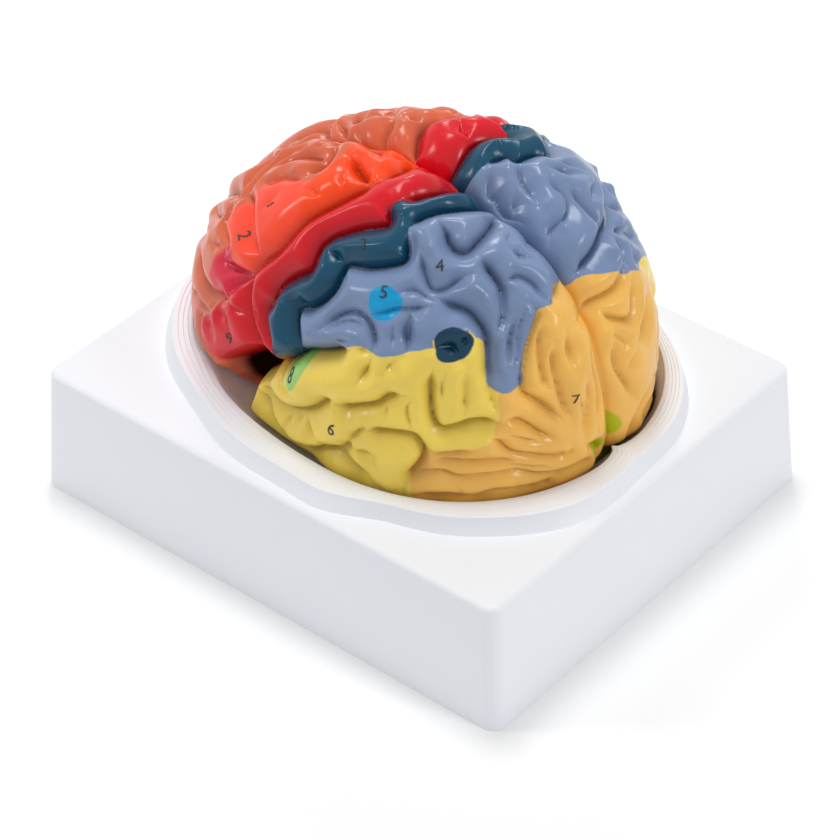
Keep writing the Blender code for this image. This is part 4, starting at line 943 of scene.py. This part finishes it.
def add_piece(name, mesh, material, slot, *replaced):
    """An object of the model: it rides on the row's one body and stands for the solids named."""
    mesh.materials.append(material)
    piece = bpy.data.objects.new(name, mesh)
    bpy.context.scene.collection.objects.link(piece)
    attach(piece, "root")
    if replaced:
        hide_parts(*replaced)


def store(mesh, name, values):
    """One number for each point of the mesh, which the material reads by name."""
    layer = mesh.attributes.new(name, "FLOAT", "POINT")
    layer.data.foreach_set("value", values.astype(np.float32))


# %% The two hemispheres
NOT_PAINTED, NEAR_ITS_BORDER = -50.0, -2.4
UNDERLAP, COVER_MARGIN = 2.5, 0.4


def add_hemisphere(name, side, regions, node):
    """One folded and painted hemisphere."""
    points, faces, back, up, depth = half_surface(side)
    mesh = mesh_from(name, points, faces)
    places, bare = np.stack([back, up], 1), np.full(len(points), NOT_PAINTED)
    inside = [degrees_inside(places, regions[layer]) if layer in regions else bare
              for layer in PAINTS]
    for k, layer in enumerate(PAINTS):
        covered = np.max([*inside[k + 1:], bare], axis=0)
        under = np.minimum(inside[k] + UNDERLAP, covered + COVER_MARGIN)
        runs_on = np.where(inside[k] > NEAR_ITS_BORDER, under, NOT_PAINTED)
        store(mesh, layer, np.maximum(inside[k], runs_on))
    # The material paints shade into the creases by this depth.
    store(mesh, "crease_depth", depth * 1000)
    triangles = sum(len(face.vertices) - 2 for face in mesh.polygons)
    print(name, len(points), "points,", triangles, "triangles")
    add_piece(name, mesh, VINYL, "painted_vinyl", node)


add_hemisphere("left_hemisphere", LEFT, LEFT_REGIONS, "left_half")
add_hemisphere("right_hemisphere", RIGHT, RIGHT_REGIONS, "right_half")

# %% [markdown]
# ## Cerebellum and brainstem
#
# Below each hemisphere hang half of the cerebellum, an egg with level leaves, and half of the
# brainstem, which tapers down and back with the swelling of the pons on its way. Both are stacks of
# half rings whose ends lie in the mid plane. They lie in the well of the base, where only their
# size matters, and they carry the plain colours such models give them.

# %% Numbers and pieces below the hemispheres
BASE_WALL = 0.0025
WELL_FOOT, WELL_CLEARANCE, WELL_DRAFT, WELL_CORNER_RADIUS = 0.004, 0.0025, 0.0020, 0.024
WELL_FLOOR = WELL_FOOT + BASE_WALL
CEREBELLUM_PLACE, CEREBELLUM_REACH = (0.034, -0.029), (0.029, 0.045)
CEREBELLUM_LEAVES, CEREBELLUM_LEAF_DEPTH = 6, 0.0009
LEVELS_PER_LEAF, EGG_TURN = 25, 1.5
STEM_TOP, STEM_FOOT_X, STEM_TOP_RADIUS, STEM_FOOT_RADIUS = (-0.002, -0.010), 0.009, 0.012, 0.0075
STEM_LEVELS, STEM_WIDENING = 40, 1.1
PONS_SWELL, PONS_AT, PONS_SPREAD = 0.005, 0.40, 0.16
HALF_RING_POINTS = 49
LOWER_EDGE_ANGLE = math.radians(50)


def cerebellum_size():
    """(x, z) of the cerebellum's middle and its reach along X, Y and Z."""
    x, z = FORM_CENTRE[0] + CEREBELLUM_PLACE[0], FORM_CENTRE[2] + CEREBELLUM_PLACE[1]
    return x, z, *CEREBELLUM_REACH, z - WELL_FLOOR - 2 * WELL_CLEARANCE


def stem_section(t):
    """(x, z, radius) of the brainstem, t from 0 at its foot to 1 at its top."""
    radius = STEM_FOOT_RADIUS + (STEM_TOP_RADIUS - STEM_FOOT_RADIUS) * t
    radius = radius + PONS_SWELL * np.exp(-(((1 - t - PONS_AT) / PONS_SPREAD) ** 2))
    foot, top = WELL_FLOOR + WELL_CLEARANCE, FORM_CENTRE[2] + STEM_TOP[1]
    x = FORM_CENTRE[0] + STEM_FOOT_X + (STEM_TOP[0] - STEM_FOOT_X) * t
    return x, foot + (top - foot) * t, radius


def half_turned(side, x, z, along, across):
    """(points, faces) of one half of a stack of rings: level k has its middle at (x, z) and these
    reaches. Each ring starts and ends in the mid plane, and the flat side is closed by the same
    points, which run from one end of a half ring to the other."""
    a = np.linspace(0, math.pi, HALF_RING_POINTS)
    out = np.stack([x[:, None] + along[:, None] * np.cos(a), across[:, None] * np.sin(a)], -1)
    curved = np.dstack([out[..., 0], MID_PLANE_Y + side * (MID_GAP / 2 + out[..., 1]),
                        np.repeat(z[:, None], len(a), 1)])
    points = curved.reshape(-1, 3)
    grid = np.arange(len(points)).reshape(len(x), len(a))
    sides = ring_faces(grid.T, closed=False)
    mid = np.stack([grid[:-1, 0], grid[:-1, -1], grid[1:, -1], grid[1:, 0]], 1)
    ends = []
    for ring, turned in ((grid[0], True), (grid[-1], False)):
        middle = np.full(len(ring) - 1, ring[0])
        cap = np.stack([middle, ring[:-1], ring[1:], ring[1:]], 1)
        ends.append(cap[:, ::-1] if turned else cap)
    return points, np.vstack([sides, mid, *ends])


def add_lower_half(name, side, node):
    """Half cerebellum and half brainstem of one side."""
    x, z, rx, ry, rz = cerebellum_size()
    turn = np.linspace(-EGG_TURN, EGG_TURN, LEVELS_PER_LEAF * CEREBELLUM_LEAVES)
    leaf = CEREBELLUM_LEAF_DEPTH * np.abs(np.cos(CEREBELLUM_LEAVES * turn))
    along, across = (reach * np.cos(turn) - leaf for reach in (rx, ry))
    egg = half_turned(side, np.full(len(turn), x), z + rz * np.sin(turn), along, across)
    stem_x, stem_z, radius = stem_section(np.linspace(0, 1, STEM_LEVELS))
    stem = half_turned(side, stem_x, stem_z, radius, radius * STEM_WIDENING)
    for label, shape, paint in (("cerebellum", egg, LEAF_PAINT), ("brainstem", stem, STEM_PAINT)):
        mesh = mesh_from(f"{name}_{label}", *shape)
        mesh.set_sharp_from_angle(angle=LOWER_EDGE_ANGLE)
        add_piece(f"{name}_{label}", mesh, paint, "painted_vinyl", node)


def plain_paint(name, colour):
    """Vinyl in one paint."""
    return painted_material(name, lambda tree: colour, lambda tree: 0.0, relief=False)


LEAF_PAINT = plain_paint("painted_leaves", from_screen(180, 186, 8))
STEM_PAINT = plain_paint("painted_stem", from_screen(224, 198, 130))
add_lower_half("left", LEFT, "left_half")
add_lower_half("right", RIGHT, "right_half")

# %% [markdown]
# ## Numerals
#
# Small black numerals are printed on some folds. Each is a text made a mesh, cut finely enough to
# bend, and laid on the surface: its corners get a place on the map, and the finished surface at that
# place gives the point, a little proud of the paint. A picture over the paint could do it too, but a
# mesh stays sharp from near by and needs no picture. Which numeral stands where is free, since the
# key that would name the regions isn't part of the model.

# %% Numerals on the left half
NUMERAL_HEIGHT, NUMERAL_LIFT = 0.0046, 0.00022
HEIGHT_IN_FONT, EDGES_PER_HEIGHT, CUTS = 0.72, 6, 4
NUMERALS = [("1", (-42, 38.5), -35), ("2", (-47, 23.5), -20), ("3", (7, 47), 25),
            ("4", (34.5, 46), 20), ("5", (20.5, 35.5), 10), ("6", (10, -11), -15),
            ("7", (77, 0), 0), ("8", (-8.5, -3.5), 20), ("9", (-38.5, -8.5), 20)]


def numeral_mesh(text, size):
    """A flat numeral round the origin, cut into triangles with sides under a sixth of its height."""
    curve = bpy.data.curves.new("numeral", "FONT")
    curve.body, curve.size = text, size / HEIGHT_IN_FONT
    curve.align_x = curve.align_y = "CENTER"
    holder = bpy.data.objects.new("numeral", curve)
    bpy.context.scene.collection.objects.link(holder)
    mesh = bpy.data.meshes.new_from_object(holder)
    bpy.data.objects.remove(holder)
    bm = bmesh.new()
    bm.from_mesh(mesh)
    bmesh.ops.triangulate(bm, faces=bm.faces)
    for _ in range(CUTS):
        long_edges = [edge for edge in bm.edges if edge.calc_length() > size / EDGES_PER_HEIGHT]
        bmesh.ops.subdivide_edges(bm, edges=long_edges, cuts=1)
        bmesh.ops.triangulate(bm, faces=bm.faces)
    bm.to_mesh(mesh)
    bm.free()
    return mesh


def lay_on_brain(mesh, place, turn, side):
    """Moves a flat mesh onto the finished surface at a place of the map, turned by turn degrees."""
    flat = np.empty(len(mesh.vertices) * 3, np.float32)
    mesh.vertices.foreach_get("co", flat)
    x, y = flat.reshape(-1, 3)[:, :2].T
    a = math.radians(turn)
    reach = np.linalg.norm(smooth_points([place[0]], [place[1]], side)[0] - MAP_CENTRE)
    degrees = math.degrees(1 / reach)
    back = place[0] + degrees * (x * math.cos(a) - y * math.sin(a))
    up = place[1] + degrees * (x * math.sin(a) + y * math.cos(a))
    points, _ = brain_points(back, up, side)
    points += map_direction(back, up, side) * NUMERAL_LIFT
    mesh.vertices.foreach_set("co", points.astype(np.float32).ravel())
    mesh.update()


def ink():
    """Printing ink: near black, with thin spots."""
    material, tree, shader = new_material("black_ink")
    spots = noise(tree, object_place(tree), 1500.0)
    colour = mixed(tree, spots, from_screen(12, 12, 14), from_screen(52, 48, 50))
    feed(tree, shader, {"Base Color": colour, "Roughness": 0.45})
    return material


INK = ink()
for text, place, turn in NUMERALS:
    numeral = numeral_mesh(text, NUMERAL_HEIGHT)
    lay_on_brain(numeral, place, turn, LEFT)
    add_piece(f"numeral_{text}", numeral, INK, "painted_vinyl")

# %% [markdown]
# ## Display base
#
# The base is one closed skin, made like a shell on a turning bench: from the middle of the well's
# floor the rings climb the well and the nest, cross the terraces and the rim, and go down the outside
# to the foot; there they turn in and go back up and under to the middle. Every ring has its points on
# the same rays from the brain's map centre, so that each ring can have an outline of its own: an egg
# for the rim, a round-cornered rectangle for the sides, and the form of the brain for the nest.

# %% Numbers of the base
BASE_DRAFT, BASE_CORNER_RADIUS, BASE_EDGE_RADIUS = 0.0031, 0.0055, 0.0022
LEAST_CORNER_RADIUS, HOLLOW_EDGE_RADIUS, FOOT_LEVEL = 0.0015, 0.001, 0.012
RIM_END_MARGIN, RIM_SIDE_MARGIN, RIM_ROUNDNESS = 0.003, 0.004, 2.2
RIM_NARROWING, RIM_NARROWS_AT = 0.13, 0.020
RIM_WAVES = [(-142, 0.0022, 9), (-108, 0.0034, 12), (-78, 0.0014, 7), (-62, -0.0024, 7),
             (-22, 0.0022, 9), (1, -0.0020, 8)]
RIM_HEIGHT, RIM_WALL_SHARE, TERRACES, TERRACE_DROP = 0.0060, 0.22, 4, 0.00022
TERRACE_TREAD, TERRACE_RISER = 0.135, 0.015
NEST_MOUTH_DROP, NEST_CLEARANCE, NEST_NOTCH_SHARE = 0.0012, 0.0010, 0.5
WELL_FILLET = 0.004
LEAST_HOLLOW, LEAST_LEDGE = 0.0008, 0.0001
CORNER_RAYS = np.radians(np.arange(-2.6, 2.7, 0.4))
RAY_SPAN, RAY_HALVINGS = (0.002, 0.16), 24
DIP_SPAN, DIP_HALVINGS = (-0.5, 1.4), 22
MOUTH_Z = BASE_HEIGHT + RIM_HEIGHT - NEST_MOUTH_DROP
BRAIN_FOOT_Z = FORM_CENTRE[2] - UNDERSIDE_BACK
NEST_FLOOR_Z = BRAIN_FOOT_Z - NEST_CLEARANCE


def ray_angles():
    """Angles of the rays: one for each degree, and closer together towards the four corners."""
    corners = [math.atan2(y * BASE_WIDTH / 2 - MID_PLANE_Y, x * BASE_LENGTH / 2 - MAP_CENTRE[0])
               for x, y in ((1, 1), (-1, 1), (-1, -1), (1, -1))]
    extra = [corner + CORNER_RAYS for corner in corners]
    angles = np.concatenate([np.radians(np.arange(-180, 180, 1.0)), *extra])
    return np.unique(np.round(np.mod(angles, 2 * math.pi), 5))


ANGLES = ray_angles()
RAYS = np.stack([np.cos(ANGLES), np.sin(ANGLES)], 1)


def where_rays_leave(is_in_plan):
    """Distance along each ray at which it leaves a shape in plan."""
    def is_inside(reach):
        return is_in_plan(*(MAP_CENTRE[:2] + RAYS * reach[:, None]).T)
    return last_inside(is_inside, len(RAYS), RAY_SPAN, RAY_HALVINGS)


def rounded_rectangle(length, width, radius, middle=(0.0, 0.0)):
    """Where the rays leave a rectangle with rounded corners."""
    def is_in_plan(x, y):
        dx = np.abs(x - middle[0]) - length / 2 + radius
        dy = np.abs(y - middle[1]) - width / 2 + radius
        round_corner = np.hypot(np.maximum(dx, 0), np.maximum(dy, 0))
        return round_corner + np.minimum(np.maximum(dx, dy), 0) <= radius
    return where_rays_leave(is_in_plan)


def rim_foot(inset):
    """Where the rays leave the rim's foot, or a line this far inside it."""
    long = BASE_LENGTH / 2 - RIM_END_MARGIN

    def is_in_plan(x, y):
        wide = BASE_WIDTH / 2 - RIM_SIDE_MARGIN + RIM_NARROWING * np.minimum(0, x - RIM_NARROWS_AT)
        return np.abs(x / long) ** RIM_ROUNDNESS + np.abs(y / wide) ** RIM_ROUNDNESS <= 1
    reach = where_rays_leave(is_in_plan)
    for wave_at, wave, spread in RIM_WAVES:
        off = (np.degrees(ANGLES) - wave_at + 180) % 360 - 180
        reach = reach + wave * np.exp(-((off / spread) ** 2) / 2)
    return reach - inset


def nest_reach(height, clearance):
    """Where the nest lies on the rays at one height: the form of the brain moved down and out by
    the clearance. Towards its mouth, at the back, it follows the fissure between the halves a
    little. The dip below the level at which the form has this height is found by halving."""
    climbed = np.clip((height - NEST_FLOOR_Z) / (MOUTH_Z - NEST_FLOOR_Z), 0, 1)
    notch_share = NEST_NOTCH_SHARE * climbed**2
    low, high = (np.full(len(ANGLES), dip) for dip in DIP_SPAN)
    for _ in range(DIP_HALVINGS):
        dip = (low + high) / 2
        ray = np.stack([np.cos(dip) * RAYS[:, 0], np.cos(dip) * RAYS[:, 1], -np.sin(dip)], 1)
        out = np.degrees(np.arccos(np.clip(np.abs(ray[:, 1]), 0, 1)))
        turn = np.arctan2(ray[:, 2], ray[:, 0])
        notch = notch_share * roll_depth(out * np.cos(turn), out * np.sin(turn))
        reach = form_reach(ray) - np.where(ray[:, 0] > 0, notch, 0)
        below = MAP_CENTRE[2] - reach * np.sin(dip) < height + clearance
        high, low = np.where(below, dip, high), np.where(below, low, dip)
    return reach * np.cos(dip) + clearance


def well_reach(height, wall):
    """Where the rays leave the well at one height, or with a wall its outside."""
    t = (height - WELL_FLOOR + wall) / (BASE_HEIGHT - WELL_FLOOR + wall)
    cx, _, rx, ry, _ = cerebellum_size()
    x, z, radius = stem_section(np.linspace(0, 1, STEM_LEVELS + 1))
    front = (x - radius)[z < BRAIN_FOOT_Z].min() - WELL_CLEARANCE
    back = cx + rx + WELL_CLEARANCE
    draw = 2 * (WELL_DRAFT * (1 - t) + WELL_FILLET * max(0.0, 1 - 4 * t) ** 2 - wall)
    return rounded_rectangle(back - front - draw, 2 * (ry + WELL_CLEARANCE) - draw,
                             WELL_CORNER_RADIUS + wall, ((front + back) / 2, MID_PLANE_Y))


# %% Rings of the skin
WELL_FLOOR_SHARE, NEST_FLOOR_SHARE = 0.97, 0.98
WELL_SHARES = (0, 0.03, 0.07, 0.12, 0.18, 0.26, 0.36, 0.6, 1)
UPPER_NEST_SHARES = (0.04, 0.09, 0.16, 0.25, 0.35, 0.46, 0.58, 0.70, 0.82, 0.92)
LOWER_NEST_SHARES = (0.74, 0.62, 0.50, 0.40, 0.30, 0.20, 0.12)


def rim_profile():
    """The rim from its foot to the mouth, as (share of the way out, height above the base's top):
    a wall with a rounded crest, then terraces that fall towards the mouth."""
    crest = 1 - RIM_WALL_SHARE
    profile = [(1.02, 0.0), (1.0, 0.0003), (crest + 0.030, RIM_HEIGHT - 0.0009),
               (crest + 0.012, RIM_HEIGHT - 0.0002), (crest - 0.012, RIM_HEIGHT)]
    share, height = crest - 0.015, RIM_HEIGHT
    for _ in range(TERRACES):
        for step, drop in ((TERRACE_TREAD, 0.0), (TERRACE_RISER, TERRACE_DROP)):
            share, height = share - step, height - drop
            profile.append((share, height))
    return [*profile, (0.04, RIM_HEIGHT - NEST_MOUTH_DROP * 0.85)]


def side_levels(top, edge_radius):
    """(height, how far the edge has rolled in) up a side wall with a round top edge."""
    turns = np.linspace(0, math.pi / 2, 7)[1:]
    rounded = [(top - edge_radius * (1 - math.sin(a)), edge_radius * (1 - math.cos(a)))
               for a in turns]
    return [(0.0, 0.0), (FOOT_LEVEL, 0.0), (top / 2, 0.0), (top - edge_radius, 0.0), *rounded]


def side_ring(height, inset, radius):
    """Where the rays leave the drafted sides at one height, or a line this far inside them."""
    out = 2 * (BASE_DRAFT / BASE_HEIGHT * (BASE_HEIGHT - height) - inset)
    return rounded_rectangle(BASE_LENGTH + out, BASE_WIDTH + out, max(radius, LEAST_CORNER_RADIUS))


def nest_level(share):
    """The height at a share of the way from the nest's floor to its mouth."""
    return NEST_FLOOR_Z + share * (MOUTH_Z - NEST_FLOOR_Z)


def nest_rings(shares, wall, top):
    """(reach, height) of rings up or down the nest. Below the top of the base the well cuts into it
    where it is the wider of the two."""
    rings = []
    for z in map(nest_level, shares):
        nest = nest_reach(z, NEST_CLEARANCE + wall)
        rings.append((np.maximum(nest, well_reach(z, wall)) if z < top else nest, z))
    return rings


def upper_rings():
    """(reach, height) of each ring from the well's floor to the foot of the sides."""
    well = [WELL_FLOOR + (NEST_FLOOR_Z - WELL_FLOOR) * t for t in WELL_SHARES]
    rings = [(well_reach(well[0], 0.0) * WELL_FLOOR_SHARE, well[0])]
    rings += [(well_reach(z, 0.0), z) for z in well]
    lowest = nest_reach(nest_level(0.03), NEST_CLEARANCE)
    rings.append((np.maximum(lowest * NEST_FLOOR_SHARE, rings[-1][0]), NEST_FLOOR_Z))
    rings += nest_rings(UPPER_NEST_SHARES, 0.0, BASE_HEIGHT)
    mouth, foot = nest_reach(MOUTH_Z, NEST_CLEARANCE), rim_foot(0.0)
    rings.append((mouth, MOUTH_Z))
    rings += [(mouth + share * (foot - mouth), BASE_HEIGHT + up)
              for share, up in rim_profile()[::-1]]
    for z, rolled in side_levels(BASE_HEIGHT, BASE_EDGE_RADIUS)[::-1]:
        rings.append((side_ring(z, rolled, BASE_CORNER_RADIUS - rolled), z))
    return rings


def lower_rings():
    """(reach, height) of each ring from the inside of the foot to the underside of the well."""
    under = BASE_HEIGHT - BASE_WALL
    rings = [(side_ring(z, BASE_WALL + rolled, BASE_CORNER_RADIUS - BASE_WALL), z)
             for z, rolled in side_levels(under, HOLLOW_EDGE_RADIUS)]
    hollow_in = nest_reach(MOUTH_Z, NEST_CLEARANCE + BASE_WALL)
    hollow_out = np.maximum(rim_foot(BASE_WALL), hollow_in + LEAST_HOLLOW)
    rings.append((hollow_out, under))
    for share, drop_share in ((0.62, 0.26), (0.2, 0.85), (0.0, 0.94)):
        plan = hollow_in + share * (hollow_out - hollow_in)
        rings.append((plan, under + RIM_HEIGHT - drop_share * NEST_MOUTH_DROP))
    rings += nest_rings(LOWER_NEST_SHARES, BASE_WALL, under)
    lowest = nest_reach(nest_level(0.06), NEST_CLEARANCE)
    z = NEST_FLOOR_Z - BASE_WALL
    well = well_reach(z, BASE_WALL)
    rings += [(np.maximum(lowest, well), z), (well, z - LEAST_LEDGE)]
    for t in WELL_SHARES[-2::-1]:
        z = WELL_FOOT + (NEST_FLOOR_Z - WELL_FOOT) * t
        rings.append((well_reach(z, BASE_WALL), z))
    return rings


def base_skin():
    """(points, faces) of the whole base."""
    count, middle = len(ANGLES), MAP_CENTRE[:2]
    layers, numbers = [np.array([[*middle, WELL_FLOOR]])], [np.zeros(count, int)]
    for reach, z in upper_rings() + lower_rings():
        numbers.append(1 + (len(numbers) - 1) * count + np.arange(count))
        layers.append(np.column_stack([middle + RAYS * reach[:, None], np.full(count, z)]))
    layers.append(np.array([[*middle, WELL_FOOT]]))
    numbers.append(np.full(count, 1 + (len(numbers) - 1) * count))
    return np.vstack(layers), ring_faces(numbers)


# %% Plastic and the base itself
BASE_EDGE_ANGLE = math.radians(28)
PLASTIC_ROUGHNESS, PLASTIC_GLOSS, PLASTIC_RELIEF = (0.12, 0.34), 0.4, (0.15, 0.0002)


def plastic_skin_group():
    """Moulded plastic: a faint skin of fine hollows, and roughness that varies in slow patches."""
    outputs = dict.fromkeys(("Roughness", "Height", "Tone"), "NodeSocketFloat")
    group, _, made = new_group("skin of moulded plastic", {}, outputs)
    place = object_place(group)
    slow, fine = noise(group, place, 14.0), noise(group, place, 700.0)
    roughness = number(group, "MULTIPLY_ADD", slow, *PLASTIC_ROUGHNESS)
    feed(group, made.inputs, {"Roughness": roughness, "Height": fine, "Tone": slow})
    return group


def white_plastic():
    """The base's cool white."""
    material, tree, shader = new_material("white_plastic")
    skin = use_group(tree, plastic_skin_group(), {})
    whites = from_screen(234, 237, 243), from_screen(239, 241, 246)
    feed(tree, shader, {
        "Base Color": mixed(tree, skin["Tone"], *whites),
        "Roughness": skin["Roughness"],
        "Specular IOR Level": PLASTIC_GLOSS,
        "Normal": bump(tree, skin["Height"], *PLASTIC_RELIEF),
    })
    return material


base_mesh = mesh_from("display_base_skin", *base_skin())
base_mesh.set_sharp_from_angle(angle=BASE_EDGE_ANGLE)
add_piece("base_shell", base_mesh, white_plastic(), "white_plastic", "display_base")
print("base:", len(base_mesh.vertices), "points,", len(base_mesh.polygons), "faces")

# %% [markdown]
# ## Pins
#
# The two locating pins keep the halves in line. They keep their solid meshes, which are plain round
# bars, and get brushed steel: noise stretched round the bar stands for the marks of the lathe.

# %% Steel
def brushed_steel():
    """Bright steel with fine rings round the bar."""
    material, tree, shader = new_material("steel_pin")
    links = {"Vector": object_place(tree), "Scale": (60, 2500, 60)}
    lines = noise(tree, add_node(tree, "ShaderNodeMapping", links).outputs["Vector"], 1.0)
    feed(tree, shader, {
        "Roughness": number(tree, "MULTIPLY_ADD", lines, 0.25, 0.15),
        "Base Color": mixed(tree, lines, from_screen(170, 170, 174), from_screen(206, 206, 210)),
        "Metallic": 1.0,
    })
    return material


STEEL = brushed_steel()
for pin in ("locating_pin_front", "locating_pin_rear"):
    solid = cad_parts[pin]
    solid.data.materials.clear()
    solid.data.materials.append(STEEL)

# %% [markdown]
# ## Studio
#
# A white floor, a white surround and four soft lamps, as for a catalogue picture. The surround fills
# the shadows, and the lamps give the folds their highlights. The camera stands high at the rear left
# of the brain, with a long lens, because the sides of the base hardly converge in the photo.

# %% Floor, light and camera
FLOOR_REACH = 3.0
LAMP_AIM = (0, 0, 0.06)


def add_floor():
    """A wide floor that keeps the object's shadow."""
    mesh = bpy.data.meshes.new("floor")
    corners = np.array([(-1, -1, 0), (1, -1, 0), (1, 1, 0), (-1, 1, 0)]) * FLOOR_REACH
    mesh.from_pydata(corners.tolist(), [], [(0, 1, 2, 3)])
    material, tree, shader = new_material("floor_paper")
    feed(tree, shader, {"Base Color": WHITE, "Roughness": 1.0, "Specular IOR Level": 0.0})
    mesh.materials.append(material)
    floor = bpy.data.objects.new("floor", mesh)
    bpy.context.scene.collection.objects.link(floor)


def add_surround(strength):
    """White light from all round. A ray of the camera, a mirror or glass that meets it sees full
    white."""
    world = bpy.data.worlds.new("surround")
    world.use_nodes = True
    bpy.context.scene.world = world
    tree = world.node_tree
    rays = add_node(tree, "ShaderNodeLightPath").outputs
    straight = number(tree, "MAXIMUM", rays["Is Camera Ray"], rays["Is Transmission Ray"])
    seen = number(tree, "MAXIMUM", straight, rays["Is Glossy Ray"])
    level = number(tree, "MULTIPLY_ADD", seen, 1 - strength, strength)
    feed(tree, tree.nodes["Background"].inputs, {"Color": WHITE, "Strength": level})


def add_lamp(name, place, size, power):
    """A square soft lamp that shines at the middle of the object."""
    data = bpy.data.lights.new(name, "AREA")
    data.shape, data.size, data.energy = "SQUARE", size, power
    lamp = bpy.data.objects.new(name, data)
    lamp.location = place
    lamp.rotation_mode = "QUATERNION"
    lamp.rotation_quaternion = (Vector(LAMP_AIM) - Vector(place)).to_track_quat("-Z", "Y")
    bpy.context.scene.collection.objects.link(lamp)


def add_camera(place, aim, roll, lens):
    """The camera of the picture; it turns round its own line of sight by roll degrees."""
    data = bpy.data.cameras.new("camera")
    data.lens, data.sensor_width = lens, 36
    camera = bpy.data.objects.new("camera", data)
    sight = (Vector(aim) - Vector(place)).normalized()
    camera.rotation_mode = "QUATERNION"
    rolled = Quaternion(sight, math.radians(roll))
    camera.rotation_quaternion = rolled @ sight.to_track_quat("-Z", "Y")
    camera.location = place
    bpy.context.scene.collection.objects.link(camera)
    bpy.context.scene.camera = camera


bpy.context.scene.view_settings.view_transform = "Standard"
add_floor()
add_surround(0.50)
add_lamp("top", (-0.15, 0.10, 1.10), size=0.34, power=4.1)
add_lamp("left", (-0.9, -0.8, 0.8), size=0.28, power=3.1)
add_lamp("right", (1.1, 0.1, 0.7), size=0.28, power=3.1)
add_lamp("far", (-0.75, 0.85, 0.95), size=0.28, power=2.6)
add_camera(CAMERA_PLACE.tolist(), (0.0170, -0.0191, 0.0472), roll=1.49, lens=145.4)
